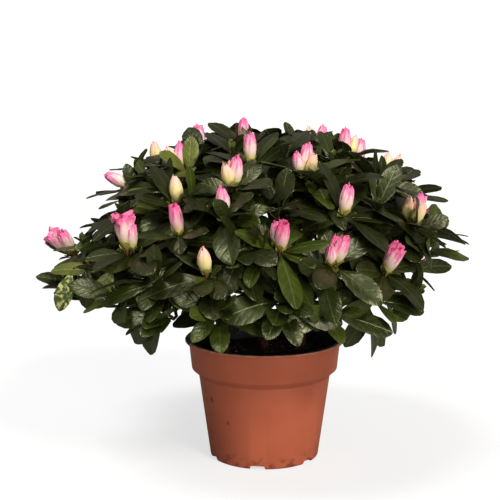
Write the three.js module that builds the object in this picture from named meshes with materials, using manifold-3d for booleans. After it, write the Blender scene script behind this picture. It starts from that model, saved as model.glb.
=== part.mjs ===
// A potted azalea: a low, wide evergreen shrub in bud, standing in a thin plastic nursery pot.
// Millimetres, +Z up, the origin under the middle of the pot, the front of the plant towards -Y.
//
// Four stems rise from the peat. Each carries a few boughs, and each bough ends in one mass of foliage.
// The crown is a flattened dome, and every shoot ends on it in a rosette of leaves, some with buds inside.
import * as THREE from "three";
import { mergeVertices } from "three/addons/utils/BufferGeometryUtils.js";
import Module from "manifold-3d";

const wasm = await Module();
wasm.setup();

// Driving dimensions of the pot, its drains and the peat in it. Pieces that meet keep a small gap.
const gap = 0.3;
const pot = {
  height: 98,
  lipRadius: 65,
  lipThickness: 2,
  lipEdge: 0.7,
  bandTopRadius: 61.8,
  bandFootRadius: 59.3,
  bandFootHeight: 73.8,
  wallTopRadius: 53.8,
  wallTopHeight: 68.5,
  footRadius: 44.5,
  footRounding: 1.5,
  wall: 1.5,
  facets: 36,
};
const drain = {
  count: 6,
  firstTurn: -7,
  footWidth: 15,
  topWidth: 10.5,
  height: 3,
  depth: 11,
  holeRadius: 3.2,
  under: 1,
  beyond: 4,
  roofLimit: 14,
};
const soil = { top: 86, edgeTop: 84.5, levelRadius: 44 };

// The stems: where each stands on the peat, how far it leans out and how tall it is
const stem = {
  footRadius: 5.2,
  flareHeight: 7,
  radius: 3.7,
  tipRadius: 2.6,
  kneeOut: 8,
  under: 2,
  facets: 8,
  steps: 7,
};
const stems = [
  { name: "left", x: -31, y: -5, lean: 0.32, height: 50 },
  { name: "middle", x: 0, y: -2, lean: 0.0, height: 58 },
  { name: "right", x: 30, y: 16, lean: 0.28, height: 50 },
  { name: "back", x: -3, y: 34, lean: 0.3, height: 48 },
];

// The crown: a flattened dome that the shoot tips lie on, and the rings of masses that make it up
const crown = { x: -10, y: 0, z: 156, out: 146, up: 95, tilt: 6, lowestSlope: 103, lowest: 145 };
const rings = [
  { level: "top", turn: 0, slope: 0, sides: [""] },
  {
    level: "upper",
    turn: 12,
    slope: 40,
    sides: ["front", "right", "back_right", "back_left", "left"],
  },
  {
    level: "lower",
    turn: 4,
    slope: 78,
    sides: ["front", "front_right", "right", "back_right", "back", "back_left", "left", "front_left"],
  },
];

// The boughs, and how far out from the hub of the plant each mass is entered by its bough and forks
const bough = {
  startRadius: 2.3,
  endRadius: 1.5,
  facets: 6,
  steps: 4,
  rise: 0.6,
  bend: 0.42,
  firstBelowTip: 5,
  apart: 7,
  crowding: 14,
};
const mass = { hubX: -5, hubZ: 118, entry: 0.46, fork: 0.6, smallest: 0.05 };

// The shoots: how many, how they lean, and the wood of their twigs
const shoot = {
  count: 92,
  goldenTurn: 137.508,
  lift: 0.9,
  spacing: 46,
  spreadSteps: 40,
  spread: 0.25,
  seed: 11,
};
const twig = { startRadius: 1.5, endRadius: 1, bend: 0.3, facets: 3, steps: 2, beside: 1.6 };

// The leaves of a rosette: real azalea leaves are 35 to 50 mm long
const leaf = { count: 5, shortest: 36, longest: 49, width: 0.42, widest: 0.56, arch: 0.06, spread: 23 };
const leafPose = { tiltLow: 62, tiltHigh: 98, turnJitter: 5, roll: 14 };
const leafTries = {
  sizes: [1, 0.88, 0.76, 0.64],
  raises: [0, 10, -10, 20, -20, 30],
  turns: [0, 7, -7],
  steepest: 30,
};
const star = { over: 2.2, under: 3, notch: 3.6 };

// The buds, and the shoots that the photograph shows: turn round the pot from the front, slope from the
// top of the dome, how many buds, and how far the leading one has opened
const bud = {
  length: 21,
  shortest: 0.75,
  radius: 4.5,
  facets: 4,
  widestAt: 0.4,
  shoulderAt: 0.78,
  shoulderShut: 0.7,
  shoulderOpen: 0.5,
  swellsFrom: 0.3,
  swell: 0.9,
  sideOpen: 0.3,
  lean: 20,
  beside: 2.4,
  sunk: 0.8,
};
const seenShoots = [
  { turn: -84, slope: 74, buds: 1, open: 0.9 },
  { turn: -39, slope: 66, buds: 3, open: 1.0 },
  { turn: -21, slope: 60, buds: 1, open: 0.3 },
  { turn: -26, slope: 46, buds: 1, open: 0.0 },
  { turn: -7, slope: 53, buds: 1, open: 0.1 },
  { turn: -3, slope: 38, buds: 3, open: 0.2 },
  { turn: 9, slope: 24, buds: 1, open: 0.3 },
  { turn: 171, slope: 6, buds: 1, open: 0.2 },
  { turn: -98, slope: 28, buds: 1, open: 0.1 },
  { turn: -77, slope: 38, buds: 1, open: 0.2 },
  { turn: -49, slope: 25, buds: 2, open: 0.0 },
  { turn: 10, slope: 70, buds: 2, open: 0.4 },
  { turn: 33, slope: 37, buds: 3, open: 0.3 },
  { turn: 97, slope: 35, buds: 2, open: 0.3 },
  { turn: 115, slope: 46, buds: 1, open: 0.2 },
  { turn: 88, slope: 53, buds: 2, open: 0.0 },
  { turn: 63, slope: 71, buds: 3, open: 0.3 },
  { turn: 25, slope: 79, buds: 3, open: 0.4 },
  { turn: 42, slope: 87, buds: 2, open: 0.6 },
  { turn: -11, slope: 77, buds: 1, open: 0.0 },
  { turn: 35, slope: 60, buds: 1, open: 0.3 },
  { turn: -27, slope: 79, buds: 0, open: 0 },
  { turn: -52, slope: 75, buds: 0, open: 0 },
  { turn: -70, slope: 86, buds: 0, open: 0 },
  { turn: -41, slope: 87, buds: 0, open: 0 },
  { turn: -9, slope: 91, buds: 0, open: 0 },
  { turn: 9, slope: 90, buds: 0, open: 0 },
  { turn: 23, slope: 99, buds: 0, open: 0 },
  { turn: 14, slope: 51, buds: 0, open: 0 },
  { turn: 38, slope: 98, buds: 0, open: 0 },
  { turn: 53, slope: 99, buds: 0, open: 0 },
  { turn: 64, slope: 84, buds: 0, open: 0 },
  { turn: 85, slope: 82, buds: 0, open: 0 },
];
const behind = { fromTurn: 100, share: 0.45, mostBuds: 3, mostOpen: 0.8 };

const degrees = Math.PI / 180;
const zAxis = new THREE.Vector3(0, 0, 1);
const nearlyUpright = 0.05;

const colours = {
  pot: new THREE.MeshStandardMaterial({ color: 0xa9583c, roughness: 0.45, metalness: 0 }),
  soil: new THREE.MeshStandardMaterial({ color: 0x1d1510, roughness: 0.95, metalness: 0 }),
  bark: new THREE.MeshStandardMaterial({ color: 0x5b3a28, roughness: 0.85, metalness: 0 }),
  foliage: new THREE.MeshStandardMaterial({ color: 0x2c3d20, roughness: 0.4, metalness: 0 }),
};

// Seeded draws between two limits. The same rule with the same seed always gives the same plant.
function seededDraws(seed) {
  let state = seed * 7919 + 17;
  const draw = (low, high) => {
    state = (state * 1664525 + 1013904223) % 4294967296;
    return low + ((high - low) * state) / 4294967296;
  };
  for (let warmUp = 0; warmUp < 4; warmUp++) draw(0, 1);
  return draw;
}

// A closed three.js geometry as a solid that can be joined and cut, and back again
function solidOf(geometry) {
  const bare = geometry.clone();
  bare.deleteAttribute("normal");
  bare.deleteAttribute("uv");
  const merged = mergeVertices(bare, 1e-4);
  return new wasm.Manifold(
    new wasm.Mesh({
      numProp: 3,
      vertProperties: merged.attributes.position.array,
      triVerts: new Uint32Array(merged.index.array),
    }),
  );
}

function geometryOf(solid) {
  const { vertProperties, triVerts } = solid.getMesh();
  const geometry = new THREE.BufferGeometry();
  geometry.setAttribute("position", new THREE.BufferAttribute(vertProperties, 3));
  geometry.setIndex(new THREE.BufferAttribute(triVerts, 1));
  geometry.computeVertexNormals();
  return geometry;
}

// What hangs loose, or is sealed up inside, is dropped
function largestBody(solid) {
  return solid.decompose().reduce((best, body) => (body.volume() > best.volume() ? body : best));
}

function corner(radius, height) {
  return new THREE.Vector2(radius, height);
}

// A round geometry made on three.js's Y axis, stood up along +Z
function upright(geometry) {
  return geometry.rotateX(90 * degrees);
}

// The pot's inside, from its floor to the foot of its band, with a margin for what fills it
function potInside(margin) {
  const foot = pot.footRadius - pot.wall - margin;
  return [
    corner(0, pot.wall + margin),
    corner(foot - pot.footRounding, pot.wall + margin),
    corner(foot, pot.wall + pot.footRounding + margin),
    corner(pot.wallTopRadius - pot.wall - margin, pot.wallTopHeight + pot.wall / 2 + margin / 2),
    corner(pot.bandFootRadius - pot.wall - margin, pot.bandFootHeight + pot.wall / 2 + margin / 2),
  ];
}

function potWallSolid() {
  const lipUnder = pot.height - pot.lipThickness;
  const profile = [
    corner(0, 0),
    corner(pot.footRadius - pot.footRounding, 0),
    corner(pot.footRadius, pot.footRounding),
    corner(pot.wallTopRadius, pot.wallTopHeight),
    corner(pot.bandFootRadius, pot.bandFootHeight),
    corner(pot.bandTopRadius, lipUnder),
    corner(pot.lipRadius - pot.lipEdge, lipUnder),
    corner(pot.lipRadius, pot.height - pot.lipThickness / 2),
    corner(pot.lipRadius - pot.lipEdge, pot.height),
    corner(pot.bandTopRadius - pot.wall, pot.height),
    ...potInside(0).reverse(),
  ];
  return solidOf(upright(new THREE.LatheGeometry(profile, pot.facets)));
}

// A wedge-sided bar that runs out from the middle of the pot's floor, for a drain and its raised roof
function drainBar(grow, from, to) {
  const half = drain.footWidth / 2 + grow;
  const topHalf = drain.topWidth / 2 + grow;
  const top = drain.height + grow;
  const outline = new THREE.Shape([
    corner(-half, -drain.under),
    corner(half, -drain.under),
    corner(topHalf, top),
    corner(-topHalf, top),
  ]);
  const bar = new THREE.ExtrudeGeometry(outline, { depth: to - from, bevelEnabled: false });
  return bar.rotateX(90 * degrees).translate(0, -from, 0);
}

function eachDrain(makeGeometry) {
  return Array.from({ length: drain.count }, (_, i) => {
    const turn = drain.firstTurn + (i * 360) / drain.count;
    return solidOf(makeGeometry().rotateZ(turn * degrees));
  });
}

// The raised roofs stay above the ground and inside the wall
function drainRoofs(grow) {
  const inside = upright(
    new THREE.LatheGeometry(
      [
        corner(0, pot.wall / 2),
        corner(pot.footRadius - pot.wall / 2, pot.wall / 2),
        corner(pot.footRadius, drain.roofLimit),
        corner(0, drain.roofLimit),
      ],
      pot.facets,
    ),
  );
  const from = pot.footRadius - drain.depth - grow;
  const bars = eachDrain(() => drainBar(grow, from, pot.footRadius + drain.beyond));
  return wasm.Manifold.union(bars).intersect(solidOf(inside));
}

function potSolid() {
  const notchFrom = pot.footRadius - drain.depth;
  const notches = eachDrain(() => drainBar(0, notchFrom, pot.footRadius + drain.beyond));
  const holeReach = pot.footRadius - drain.depth / 2;
  const drill = new THREE.CylinderGeometry(drain.holeRadius, drain.holeRadius, drain.roofLimit, 6);
  const holes = eachDrain(() => upright(drill.clone()).translate(0, -holeReach, drain.roofLimit / 2));
  return potWallSolid()
    .add(drainRoofs(pot.wall))
    .subtract(wasm.Manifold.union([...notches, ...holes]));
}

function soilSolid() {
  const bandSlope = (pot.bandTopRadius - pot.bandFootRadius) / (pot.height - pot.bandFootHeight);
  const outside = pot.bandFootRadius + (soil.edgeTop - pot.bandFootHeight) * bandSlope;
  const profile = [
    ...potInside(2 * gap),
    corner(outside - pot.wall - 2 * gap, soil.edgeTop),
    corner(soil.levelRadius, soil.top),
    corner(0, soil.top),
  ];
  const filling = solidOf(upright(new THREE.LatheGeometry(profile, pot.facets)));
  return filling.subtract(drainRoofs(pot.wall + gap));
}

// A tapering limb: a many-sided rod bent along a curve. radiusAt gives its radius at a share of its length.
function limbSolid(curve, radiusAt, facets, steps) {
  const rod = new THREE.CylinderGeometry(1, 1, 1, facets, steps);
  const place = rod.attributes.position;
  const vertex = new THREE.Vector3();
  const side = new THREE.Vector3();
  const across = new THREE.Vector3();
  const spare = Math.abs(curve.getTangent(0.5).z) > 0.9 ? new THREE.Vector3(0, 1, 0) : zAxis;
  for (let i = 0; i < place.count; i++) {
    vertex.fromBufferAttribute(place, i);
    const share = THREE.MathUtils.clamp(vertex.y + 0.5, 0, 1);
    const along = curve.getTangent(share);
    side.crossVectors(spare, along).normalize();
    across.crossVectors(along, side);
    const radius = radiusAt(share);
    const point = curve.getPoint(share);
    point.addScaledVector(side, vertex.x * radius).addScaledVector(across, -vertex.z * radius);
    place.setXYZ(i, point.x, point.y, point.z);
  }
  return solidOf(rod);
}

// The middle line of a stem, from just under the top of the peat to the stem's tip
function stemCurve(row) {
  const foot = new THREE.Vector3(row.x, row.y, soil.top + gap);
  const away = new THREE.Vector3(row.x, row.y, 0).normalize();
  const up = (height, out) =>
    foot.clone().addScaledVector(zAxis, height).addScaledVector(away, row.lean * out);
  return new THREE.QuadraticBezierCurve3(
    up(-stem.under, 0),
    up(row.height / 2, stem.kneeOut),
    up(row.height, row.height),
  );
}

function stemRadius(row, share) {
  const flare = Math.max(0, 1 - (share * row.height) / stem.flareHeight);
  const plain = stem.radius + share * (stem.tipRadius - stem.radius);
  return plain + flare * flare * (stem.footRadius - stem.radius);
}

// The foot is cut level at the peat, whatever way the stem leans
function stemSolid(row) {
  const rod = limbSolid(stemCurve(row), (share) => stemRadius(row, share), stem.facets, stem.steps);
  return rod.trimByPlane([0, 0, 1], soil.top + gap);
}

// The dome is a unit sphere, stretched and tilted by this matrix. The plant is higher on its right.
const dome = new THREE.Matrix4()
  .makeTranslation(crown.x, crown.y, crown.z)
  .multiply(new THREE.Matrix4().makeRotationY(-crown.tilt * degrees))
  .multiply(new THREE.Matrix4().makeScale(crown.out, crown.out, crown.up));
const fromDome = dome.clone().invert();
const domeNormals = new THREE.Matrix3().getNormalMatrix(dome);

function direction(turn, slope) {
  const out = Math.sin(slope * degrees);
  return new THREE.Vector3(
    out * Math.sin(turn * degrees),
    -out * Math.cos(turn * degrees),
    Math.cos(slope * degrees),
  );
}

function domePlace(turn, slope) {
  return direction(turn, slope).applyMatrix4(dome);
}

// Puts a point back on the dome, no lower than the lowest shoots
function ontoDome(place) {
  const kept = place.clone().setZ(Math.max(place.z, crown.lowest));
  return kept.applyMatrix4(fromDome).normalize().applyMatrix4(dome);
}

// The shoots start on a golden-angle spiral over the dome. The nearest one moves to each place where the
// photograph shows one, and the others then spread out evenly among them.
function shootPlaces() {
  const lowest = 1 - Math.cos(crown.lowestSlope * degrees);
  const places = Array.from({ length: shoot.count }, (_, i) => {
    const slope = Math.acos(1 - (lowest * (i + 0.5)) / shoot.count) / degrees;
    return { place: domePlace(i * shoot.goldenTurn, slope), seen: null };
  });
  for (const seen of seenShoots) {
    const wanted = domePlace(seen.turn, seen.slope);
    const free = places.filter((one) => !one.seen);
    const nearest = nearestTo(wanted, free, (one) => one.place);
    nearest.place = wanted;
    nearest.seen = seen;
  }
  for (let step = 0; step < shoot.spreadSteps; step++) {
    for (const one of places.filter((each) => !each.seen)) {
      const push = new THREE.Vector3();
      for (const other of places) {
        const away = one.place.clone().sub(other.place);
        const distance = away.length();
        const short = shoot.spacing - distance;
        if (other !== one && short > 0) push.addScaledVector(away, short / distance);
      }
      one.place = ontoDome(one.place.addScaledVector(push, shoot.spread));
    }
  }
  return places;
}

// Some shoots round the back bloom too, by the same seeded rule each time
function bloomBehind(place, draw) {
  const turn = Math.atan2(place.x - crown.x, -(place.y - crown.y)) / degrees;
  const chance = draw(0, 1);
  const buds = 1 + Math.floor(draw(0, behind.mostBuds));
  const open = draw(0, behind.mostOpen);
  return Math.abs(turn) > behind.fromTurn && chance < behind.share ? { buds, open } : null;
}

function makeShoots() {
  return shootPlaces().map(({ place, seen }, i) => {
    const draw = seededDraws(shoot.seed + i);
    const outward = place.clone().applyMatrix4(fromDome).applyMatrix3(domeNormals).normalize();
    const axis = outward.addScaledVector(zAxis, shoot.lift).normalize();
    const bloom = seen ?? bloomBehind(place, draw);
    return { place, axis, bloom, draw, mass: null };
  });
}

// The masses: each has its centre on the dome, and a fork inside the crown that its twigs spread from
function makeMasses() {
  const hub = new THREE.Vector3(mass.hubX, 0, mass.hubZ);
  return rings.flatMap((ring) =>
    ring.sides.map((side, i) => {
      const turn = ring.turn + (i * 360) / ring.sides.length;
      const centre = domePlace(turn, ring.slope);
      const entry = hub.clone().lerp(centre, mass.entry);
      const fork = hub.clone().lerp(centre, mass.fork);
      const name = side ? ring.level + "_" + side : ring.level;
      return { name, centre, entry, fork, shoots: [] };
    }),
  );
}

function nearestTo(point, rows, placeOf) {
  return rows.reduce((a, b) => (placeOf(a).distanceTo(point) <= placeOf(b).distanceTo(point) ? a : b));
}

// Each shoot belongs to the mass with the nearest centre
function shareOut(shoots, masses) {
  for (const one of shoots) {
    one.mass = nearestTo(one.place, masses, (own) => own.centre);
    one.mass.shoots.push(one);
  }
}

function vertices(solid) {
  const { vertProperties } = solid.getMesh();
  return Array.from({ length: vertProperties.length / 3 }, (_, i) =>
    new THREE.Vector3().fromArray(vertProperties, 3 * i),
  );
}

// Each mass's bough grows from a stem that is near and not yet crowded. Lower boughs start lower down.
function boughPlans(masses) {
  const carried = new Map(stems.map((row) => [row, []]));
  for (const one of masses) {
    const near = (row) =>
      stemCurve(row).getPoint(1).distanceTo(one.entry) + bough.crowding * carried.get(row).length;
    const row = stems.reduce((a, b) => (near(a) <= near(b) ? a : b));
    carried.get(row).push(one);
  }
  return stems.flatMap((row) => {
    const lowestFirst = carried.get(row).sort((a, b) => a.entry.z - b.entry.z);
    return lowestFirst.map((one, i) => {
      const below = bough.firstBelowTip + (lowestFirst.length - 1 - i) * bough.apart;
      return { one, row, share: (row.height - below) / row.height };
    });
  });
}

// A bough leaves the side of its stem, with its root this far clear of the bark, and bends up to its mass
function boughSolid({ one, row, share }, clear) {
  const root = stemCurve(row).getPoint(share);
  const level = one.entry.clone().sub(root).setZ(0).normalize();
  const start = level.clone().addScaledVector(zAxis, bough.rise).normalize();
  const end = one.centre.clone().sub(one.entry).normalize();
  root.addScaledVector(level, stemRadius(row, share) + clear);
  const reach = root.distanceTo(one.entry);
  const curve = new THREE.CubicBezierCurve3(
    root,
    root.clone().addScaledVector(start, reach * bough.bend),
    one.entry.clone().addScaledVector(end, -reach * bough.bend),
    one.entry,
  );
  const radiusAt = (at) => bough.startRadius + at * (bough.endRadius - bough.startRadius);
  return limbSolid(curve, radiusAt, bough.facets, bough.steps);
}

// Seats a bough: its root slides in towards the stem until only the small gap is left
function seatedBough(plan, stemBody) {
  let clear = bough.startRadius;
  for (let step = 0; step < 3; step++) {
    clear -= boughSolid(plan, clear).minGap(stemBody, 2 * bough.startRadius) - gap;
  }
  return boughSolid(plan, clear);
}

// The direction square to a shoot's axis at this turn round it
function sideways(axis, turn) {
  const right = new THREE.Vector3().crossVectors(axis, zAxis);
  if (right.length() < nearlyUpright) right.set(1, 0, 0);
  return right.normalize().applyAxisAngle(axis, turn * degrees);
}

// The three outer corners of one leaf of a rosette: its two widest points and, between them, its tip.
// Seen along the axis the leaf stays inside its own slot, so a steep one is narrower.
function leafCorners(one, turn, tilt, length, roll) {
  const side = sideways(one.axis, turn);
  const out = Math.sin(tilt * degrees);
  const along = one.axis.clone().multiplyScalar(Math.cos(tilt * degrees)).addScaledVector(side, out);
  const across = new THREE.Vector3().crossVectors(one.axis, side).applyAxisAngle(along, roll * degrees);
  const upper = new THREE.Vector3().crossVectors(along, across);
  const middle = one.place.clone().addScaledVector(along, length * leaf.widest);
  middle.addScaledVector(upper, length * leaf.arch);
  const roomy = length * leaf.widest * out * Math.tan(leaf.spread * degrees);
  const half = Math.min((length * leaf.width) / 2, roomy);
  return [
    middle.clone().addScaledVector(across, -half),
    one.place.clone().addScaledVector(along, length),
    middle.clone().addScaledVector(across, half),
  ];
}

// A flat star round the tip of a shoot: its rim goes once round the axis, and its two peaks are on the axis
function starSolid(one, rim) {
  const geometry = new THREE.LatheGeometry([corner(0, -1), corner(1, 0), corner(0, 1)], rim.length);
  const place = geometry.attributes.position;
  const under = one.place.clone().addScaledVector(one.axis, -star.under);
  const over = one.place.clone().addScaledVector(one.axis, star.over);
  for (let i = 0; i <= rim.length; i++) {
    [under, rim[i % rim.length], over].forEach((point, j) => place.setXYZ(3 * i + j, ...point));
  }
  return solidOf(geometry);
}

// The first way of laying a leaf that keeps it in the mass's space, off the limbs and out of other leaves
function layLeaf(one, plan, isFree, others) {
  const heel = one.place.clone().addScaledVector(sideways(one.axis, plan.turn), -1);
  for (const size of leafTries.sizes) {
    for (const raise of leafTries.raises) {
      for (const turn of leafTries.turns) {
        const tilt = Math.max(plan.tilt - raise, leafTries.steepest);
        const corners = leafCorners(one, plan.turn + turn, tilt, plan.length * size, plan.roll);
        const alone = starSolid(one, [heel, ...corners]);
        if (isFree(alone) && alone.intersect(others).isEmpty()) return corners;
      }
    }
  }
  return [];
}

// The leaves of one rosette are the points of its star. One that can't be laid clear is skipped.
function rosetteSolid(one, isFree, others) {
  const rim = [];
  const first = one.draw(0, 360);
  for (let k = 0; k < leaf.count; k++) {
    const slot = first + (k * 360) / leaf.count;
    const drop = ((k * 3) % leaf.count) / (leaf.count - 1);
    const plan = {
      turn: slot + one.draw(-leafPose.turnJitter, leafPose.turnJitter),
      tilt: leafPose.tiltHigh + (leafPose.tiltLow - leafPose.tiltHigh) * drop,
      length: one.draw(leaf.shortest, leaf.longest),
      roll: one.draw(-leafPose.roll, leafPose.roll),
    };
    const notch = sideways(one.axis, slot - 180 / leaf.count).multiplyScalar(star.notch);
    rim.push(one.place.clone().add(notch), ...layLeaf(one, plan, isFree, others));
  }
  return starSolid(one, rim);
}

// A bud beside the middle of its rosette. One that opens is wider and blunter.
function budSolid(one, turn, length, open) {
  const radius = bud.radius * (1 + bud.swell * Math.max(0, open - bud.swellsFrom));
  const profile = [
    corner(0, 0),
    corner(radius, length * bud.widestAt),
    corner(radius * (bud.shoulderShut + bud.shoulderOpen * open), length * bud.shoulderAt),
    corner(0, length),
  ];
  const lean = (one.bloom.buds > 1 ? bud.lean : 0) * degrees;
  const side = sideways(one.axis, turn);
  const upwards = one.axis.clone().multiplyScalar(Math.cos(lean)).addScaledVector(side, Math.sin(lean));
  const root = one.place.clone().addScaledVector(side, bud.beside).addScaledVector(one.axis, -bud.sunk);
  const geometry = new THREE.LatheGeometry(profile, bud.facets);
  geometry.applyQuaternion(new THREE.Quaternion().setFromUnitVectors(THREE.Object3D.DEFAULT_UP, upwards));
  return solidOf(geometry.translate(root.x, root.y, root.z));
}

// The first bud of a shoot leads: it is the longest and the most open
function budSolids(one) {
  if (!one.bloom) return [];
  const first = one.draw(0, 360);
  return Array.from({ length: one.bloom.buds }, (_, k) => {
    const turn = first + (k * 360) / one.bloom.buds;
    if (k === 0) return budSolid(one, turn, bud.length, one.bloom.open);
    return budSolid(one, turn, bud.length * one.draw(bud.shortest, 1), one.bloom.open * bud.sideOpen);
  });
}

// A twig from the mass's fork, bending to come up under its shoot, and into it beside the star's peak
function twigSolid(own, one) {
  const tip = one.place.clone().addScaledVector(sideways(one.axis, 0), twig.beside);
  const reach = own.fork.distanceTo(tip);
  const bend = tip.clone().addScaledVector(one.axis, -reach * twig.bend);
  const curve = new THREE.QuadraticBezierCurve3(own.fork, bend, tip);
  const radiusAt = (share) => twig.startRadius + share * (twig.endRadius - twig.startRadius);
  return limbSolid(curve, radiusAt, twig.facets, twig.steps);
}

// A mass: its stem from the bough's tip to the fork, a twig to each shoot, and the shoots' rosettes.
// All of it stays clear of what is made already, and in the mass's own space, which is the space that
// lies nearest to the mass's shoots.
function massSolid(own, shoots, made) {
  const isOwn = (point) => nearestTo(point, shoots, (one) => one.place).mass === own;
  const isFree = (solid) => vertices(solid).every(isOwn) && solid.minGap(made, 1) >= gap;
  const ahead = own.centre.clone().sub(own.entry).normalize();
  const start = own.entry.clone().addScaledVector(ahead, gap);
  const stalk = new THREE.LineCurve3(start, own.fork.clone().addScaledVector(ahead, twig.startRadius));
  const planned = own.shoots.map((one) => ({ one, wood: twigSolid(own, one) }));
  const twigs = planned.filter(({ wood }) => isFree(wood));
  const leafy = [];
  for (const { one, wood } of twigs) {
    const otherTwigs = twigs.filter((each) => each.wood !== wood).map((each) => each.wood);
    const others = wasm.Manifold.union([...otherTwigs, ...leafy]);
    leafy.push(rosetteSolid(one, isFree, others), ...budSolids(one).filter(isFree));
  }
  const grown = wasm.Manifold.union([
    limbSolid(stalk, () => twig.startRadius, twig.facets, 1),
    ...twigs.map((each) => each.wood),
    ...leafy,
  ]);
  return largestBody(grown).simplify(mass.smallest);
}

const plant = new THREE.Group();
plant.name = "potted_azalea";

function addPiece(name, solid, material) {
  const mesh = new THREE.Mesh(geometryOf(solid), material);
  mesh.name = name;
  plant.add(mesh);
}

const potBody = potSolid();
const soilBody = soilSolid();
addPiece("pot", potBody, colours.pot);
addPiece("soil", soilBody, colours.soil);

const masses = makeMasses();
const shoots = makeShoots();
shareOut(shoots, masses);

const stemBodies = new Map(stems.map((row) => [row, stemSolid(row)]));
for (const [row, solid] of stemBodies) addPiece("stem_" + row.name, solid, colours.bark);
const boughBodies = boughPlans(masses).map((plan) => {
  const solid = seatedBough(plan, stemBodies.get(plan.row));
  addPiece("bough_" + plan.one.name, solid, colours.bark);
  return solid;
});

let made = wasm.Manifold.union([potBody, soilBody, ...stemBodies.values(), ...boughBodies]);
for (const own of masses) {
  const solid = massSolid(own, shoots, made);
  addPiece("foliage_" + own.name, solid, colours.foliage);
  made = made.add(solid);
}

export default plant;
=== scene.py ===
import math

import bmesh
import bpy
import numpy as np
from mathutils import Matrix, Vector
from mathutils.bvhtree import BVHTree


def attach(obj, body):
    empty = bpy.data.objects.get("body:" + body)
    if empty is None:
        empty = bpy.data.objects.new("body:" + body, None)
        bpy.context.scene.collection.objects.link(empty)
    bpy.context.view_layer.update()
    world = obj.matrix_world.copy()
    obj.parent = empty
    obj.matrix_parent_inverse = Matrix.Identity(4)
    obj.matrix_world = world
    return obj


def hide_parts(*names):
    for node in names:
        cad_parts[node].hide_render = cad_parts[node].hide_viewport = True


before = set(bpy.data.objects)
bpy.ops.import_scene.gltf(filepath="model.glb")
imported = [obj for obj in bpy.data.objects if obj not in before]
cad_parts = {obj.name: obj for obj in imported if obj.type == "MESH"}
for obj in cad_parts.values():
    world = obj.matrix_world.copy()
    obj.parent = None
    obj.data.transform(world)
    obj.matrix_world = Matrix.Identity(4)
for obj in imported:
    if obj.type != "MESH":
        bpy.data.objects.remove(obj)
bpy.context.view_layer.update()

# A low, wide azalea in bud, in a thin plastic nursery pot. Metres, +Z up, the front towards -Y.
# The shoots, masses and boughs follow the same seeded rule as the solids they stand for, and are
# carried on here to finer twigs, side shoots, veined leaves and petals.
zAxis = Vector((0, 0, 1))
millimetre = 0.001


# Tools for modelling: one piece in hand, its vertices or faces chosen by a test, then an operator
def takeInHand(piece):
    bpy.ops.object.select_all(action="DESELECT")
    piece.select_set(True)
    bpy.context.view_layer.objects.active = piece


def chooseAll():
    bpy.ops.mesh.select_all(action="SELECT")


def startEdit(piece):
    takeInHand(piece)
    bpy.ops.object.mode_set(mode="EDIT")
    chooseAll()


def endEdit():
    bpy.ops.object.mode_set(mode="OBJECT")


def choose(piece, kind, test):
    # kind is verts or faces
    bpy.ops.mesh.select_mode(type=kind[:4].upper())
    bpy.ops.mesh.select_all(action="DESELECT")
    editMesh = bmesh.from_edit_mesh(piece.data)
    for item in getattr(editMesh, kind):
        if test(item.co if kind == "verts" else item.calc_center_median()):
            item.select_set(True)
    editMesh.select_flush_mode()
    bmesh.update_edit_mesh(piece.data)


def stretch(x, y, z, centre=(0, 0, 0)):
    bpy.ops.transform.resize(value=(x, y, z), center_override=centre)


def shift(x, y, z):
    bpy.ops.transform.translate(value=(x, y, z))


def paintChosen(piece, slotIndex):
    piece.active_material_index = slotIndex
    bpy.ops.object.material_slot_assign()


def closeSolid():
    chooseAll()
    bpy.ops.mesh.normals_make_consistent(inside=False)
    endEdit()


def finishWith(piece, kind, **settings):
    takeInHand(piece)
    modifier = piece.modifiers.new(kind.title(), kind)
    for name, value in settings.items():
        setattr(modifier, name, value)
    bpy.ops.object.modifier_apply(modifier=modifier.name)


def makeClouds(name, size, depth):
    clouds = bpy.data.textures.new(name, "CLOUDS")
    clouds.noise_scale = size
    clouds.noise_depth = depth
    return clouds


def addPiece(name, data):
    piece = bpy.data.objects.new(name, data)
    bpy.context.scene.collection.objects.link(piece)
    return piece


def dress(piece, materials):
    for material in materials:
        piece.data.materials.append(material)


def settle(piece, smoothAngle, slotName, *nodes):
    takeInHand(piece)
    bpy.ops.object.shade_smooth_by_angle(angle=math.radians(smoothAngle))
    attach(piece, "root")
    if nodes:
        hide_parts(*nodes)


# Material tools. A colour of three numbers is given as on a paint chart, from 0 to 255.
def paint(colour):
    shares = [level / 255 for level in colour]
    return (*(share / 12.92 if share <= 0.04045 else ((share + 0.055) / 1.055) ** 2.4 for share in shares), 1.0)


def feed(tree, socket, value):
    if isinstance(value, bpy.types.NodeSocket):
        tree.links.new(value, socket)
    else:
        socket.default_value = paint(value) if socket.type == "RGBA" and len(value) == 3 else value


def addNode(tree, kind, inputs=None, **settings):
    node = tree.nodes.new(kind)
    for name, value in settings.items():
        setattr(node, name, value)
    for name, value in (inputs or {}).items():
        feed(tree, node.inputs[name], value)
    return node


def addPlace(tree):
    return addNode(tree, "ShaderNodeTexCoord").outputs["Object"]


def calculate(tree, operation, *values):
    node = addNode(tree, "ShaderNodeMath", operation=operation)
    for i, value in enumerate(values):
        feed(tree, node.inputs[i], value)
    return node.outputs[0]


def times(tree, first, second):
    return calculate(tree, "MULTIPLY", first, second)


def remap(tree, value, fromLow, fromHigh, toLow=0.0, toHigh=1.0):
    node = addNode(tree, "ShaderNodeMapRange", interpolation_type="SMOOTHSTEP")
    for i, item in enumerate((value, fromLow, fromHigh, toLow, toHigh)):
        feed(tree, node.inputs[i], item)
    return node.outputs[0]


def blendColours(tree, share, first, second):
    node = addNode(tree, "ShaderNodeMix", data_type="RGBA")
    for i, item in ((0, share), (6, first), (7, second)):  # the sockets of a mix of colours
        feed(tree, node.inputs[i], item)
    return node.outputs[2]


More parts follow.
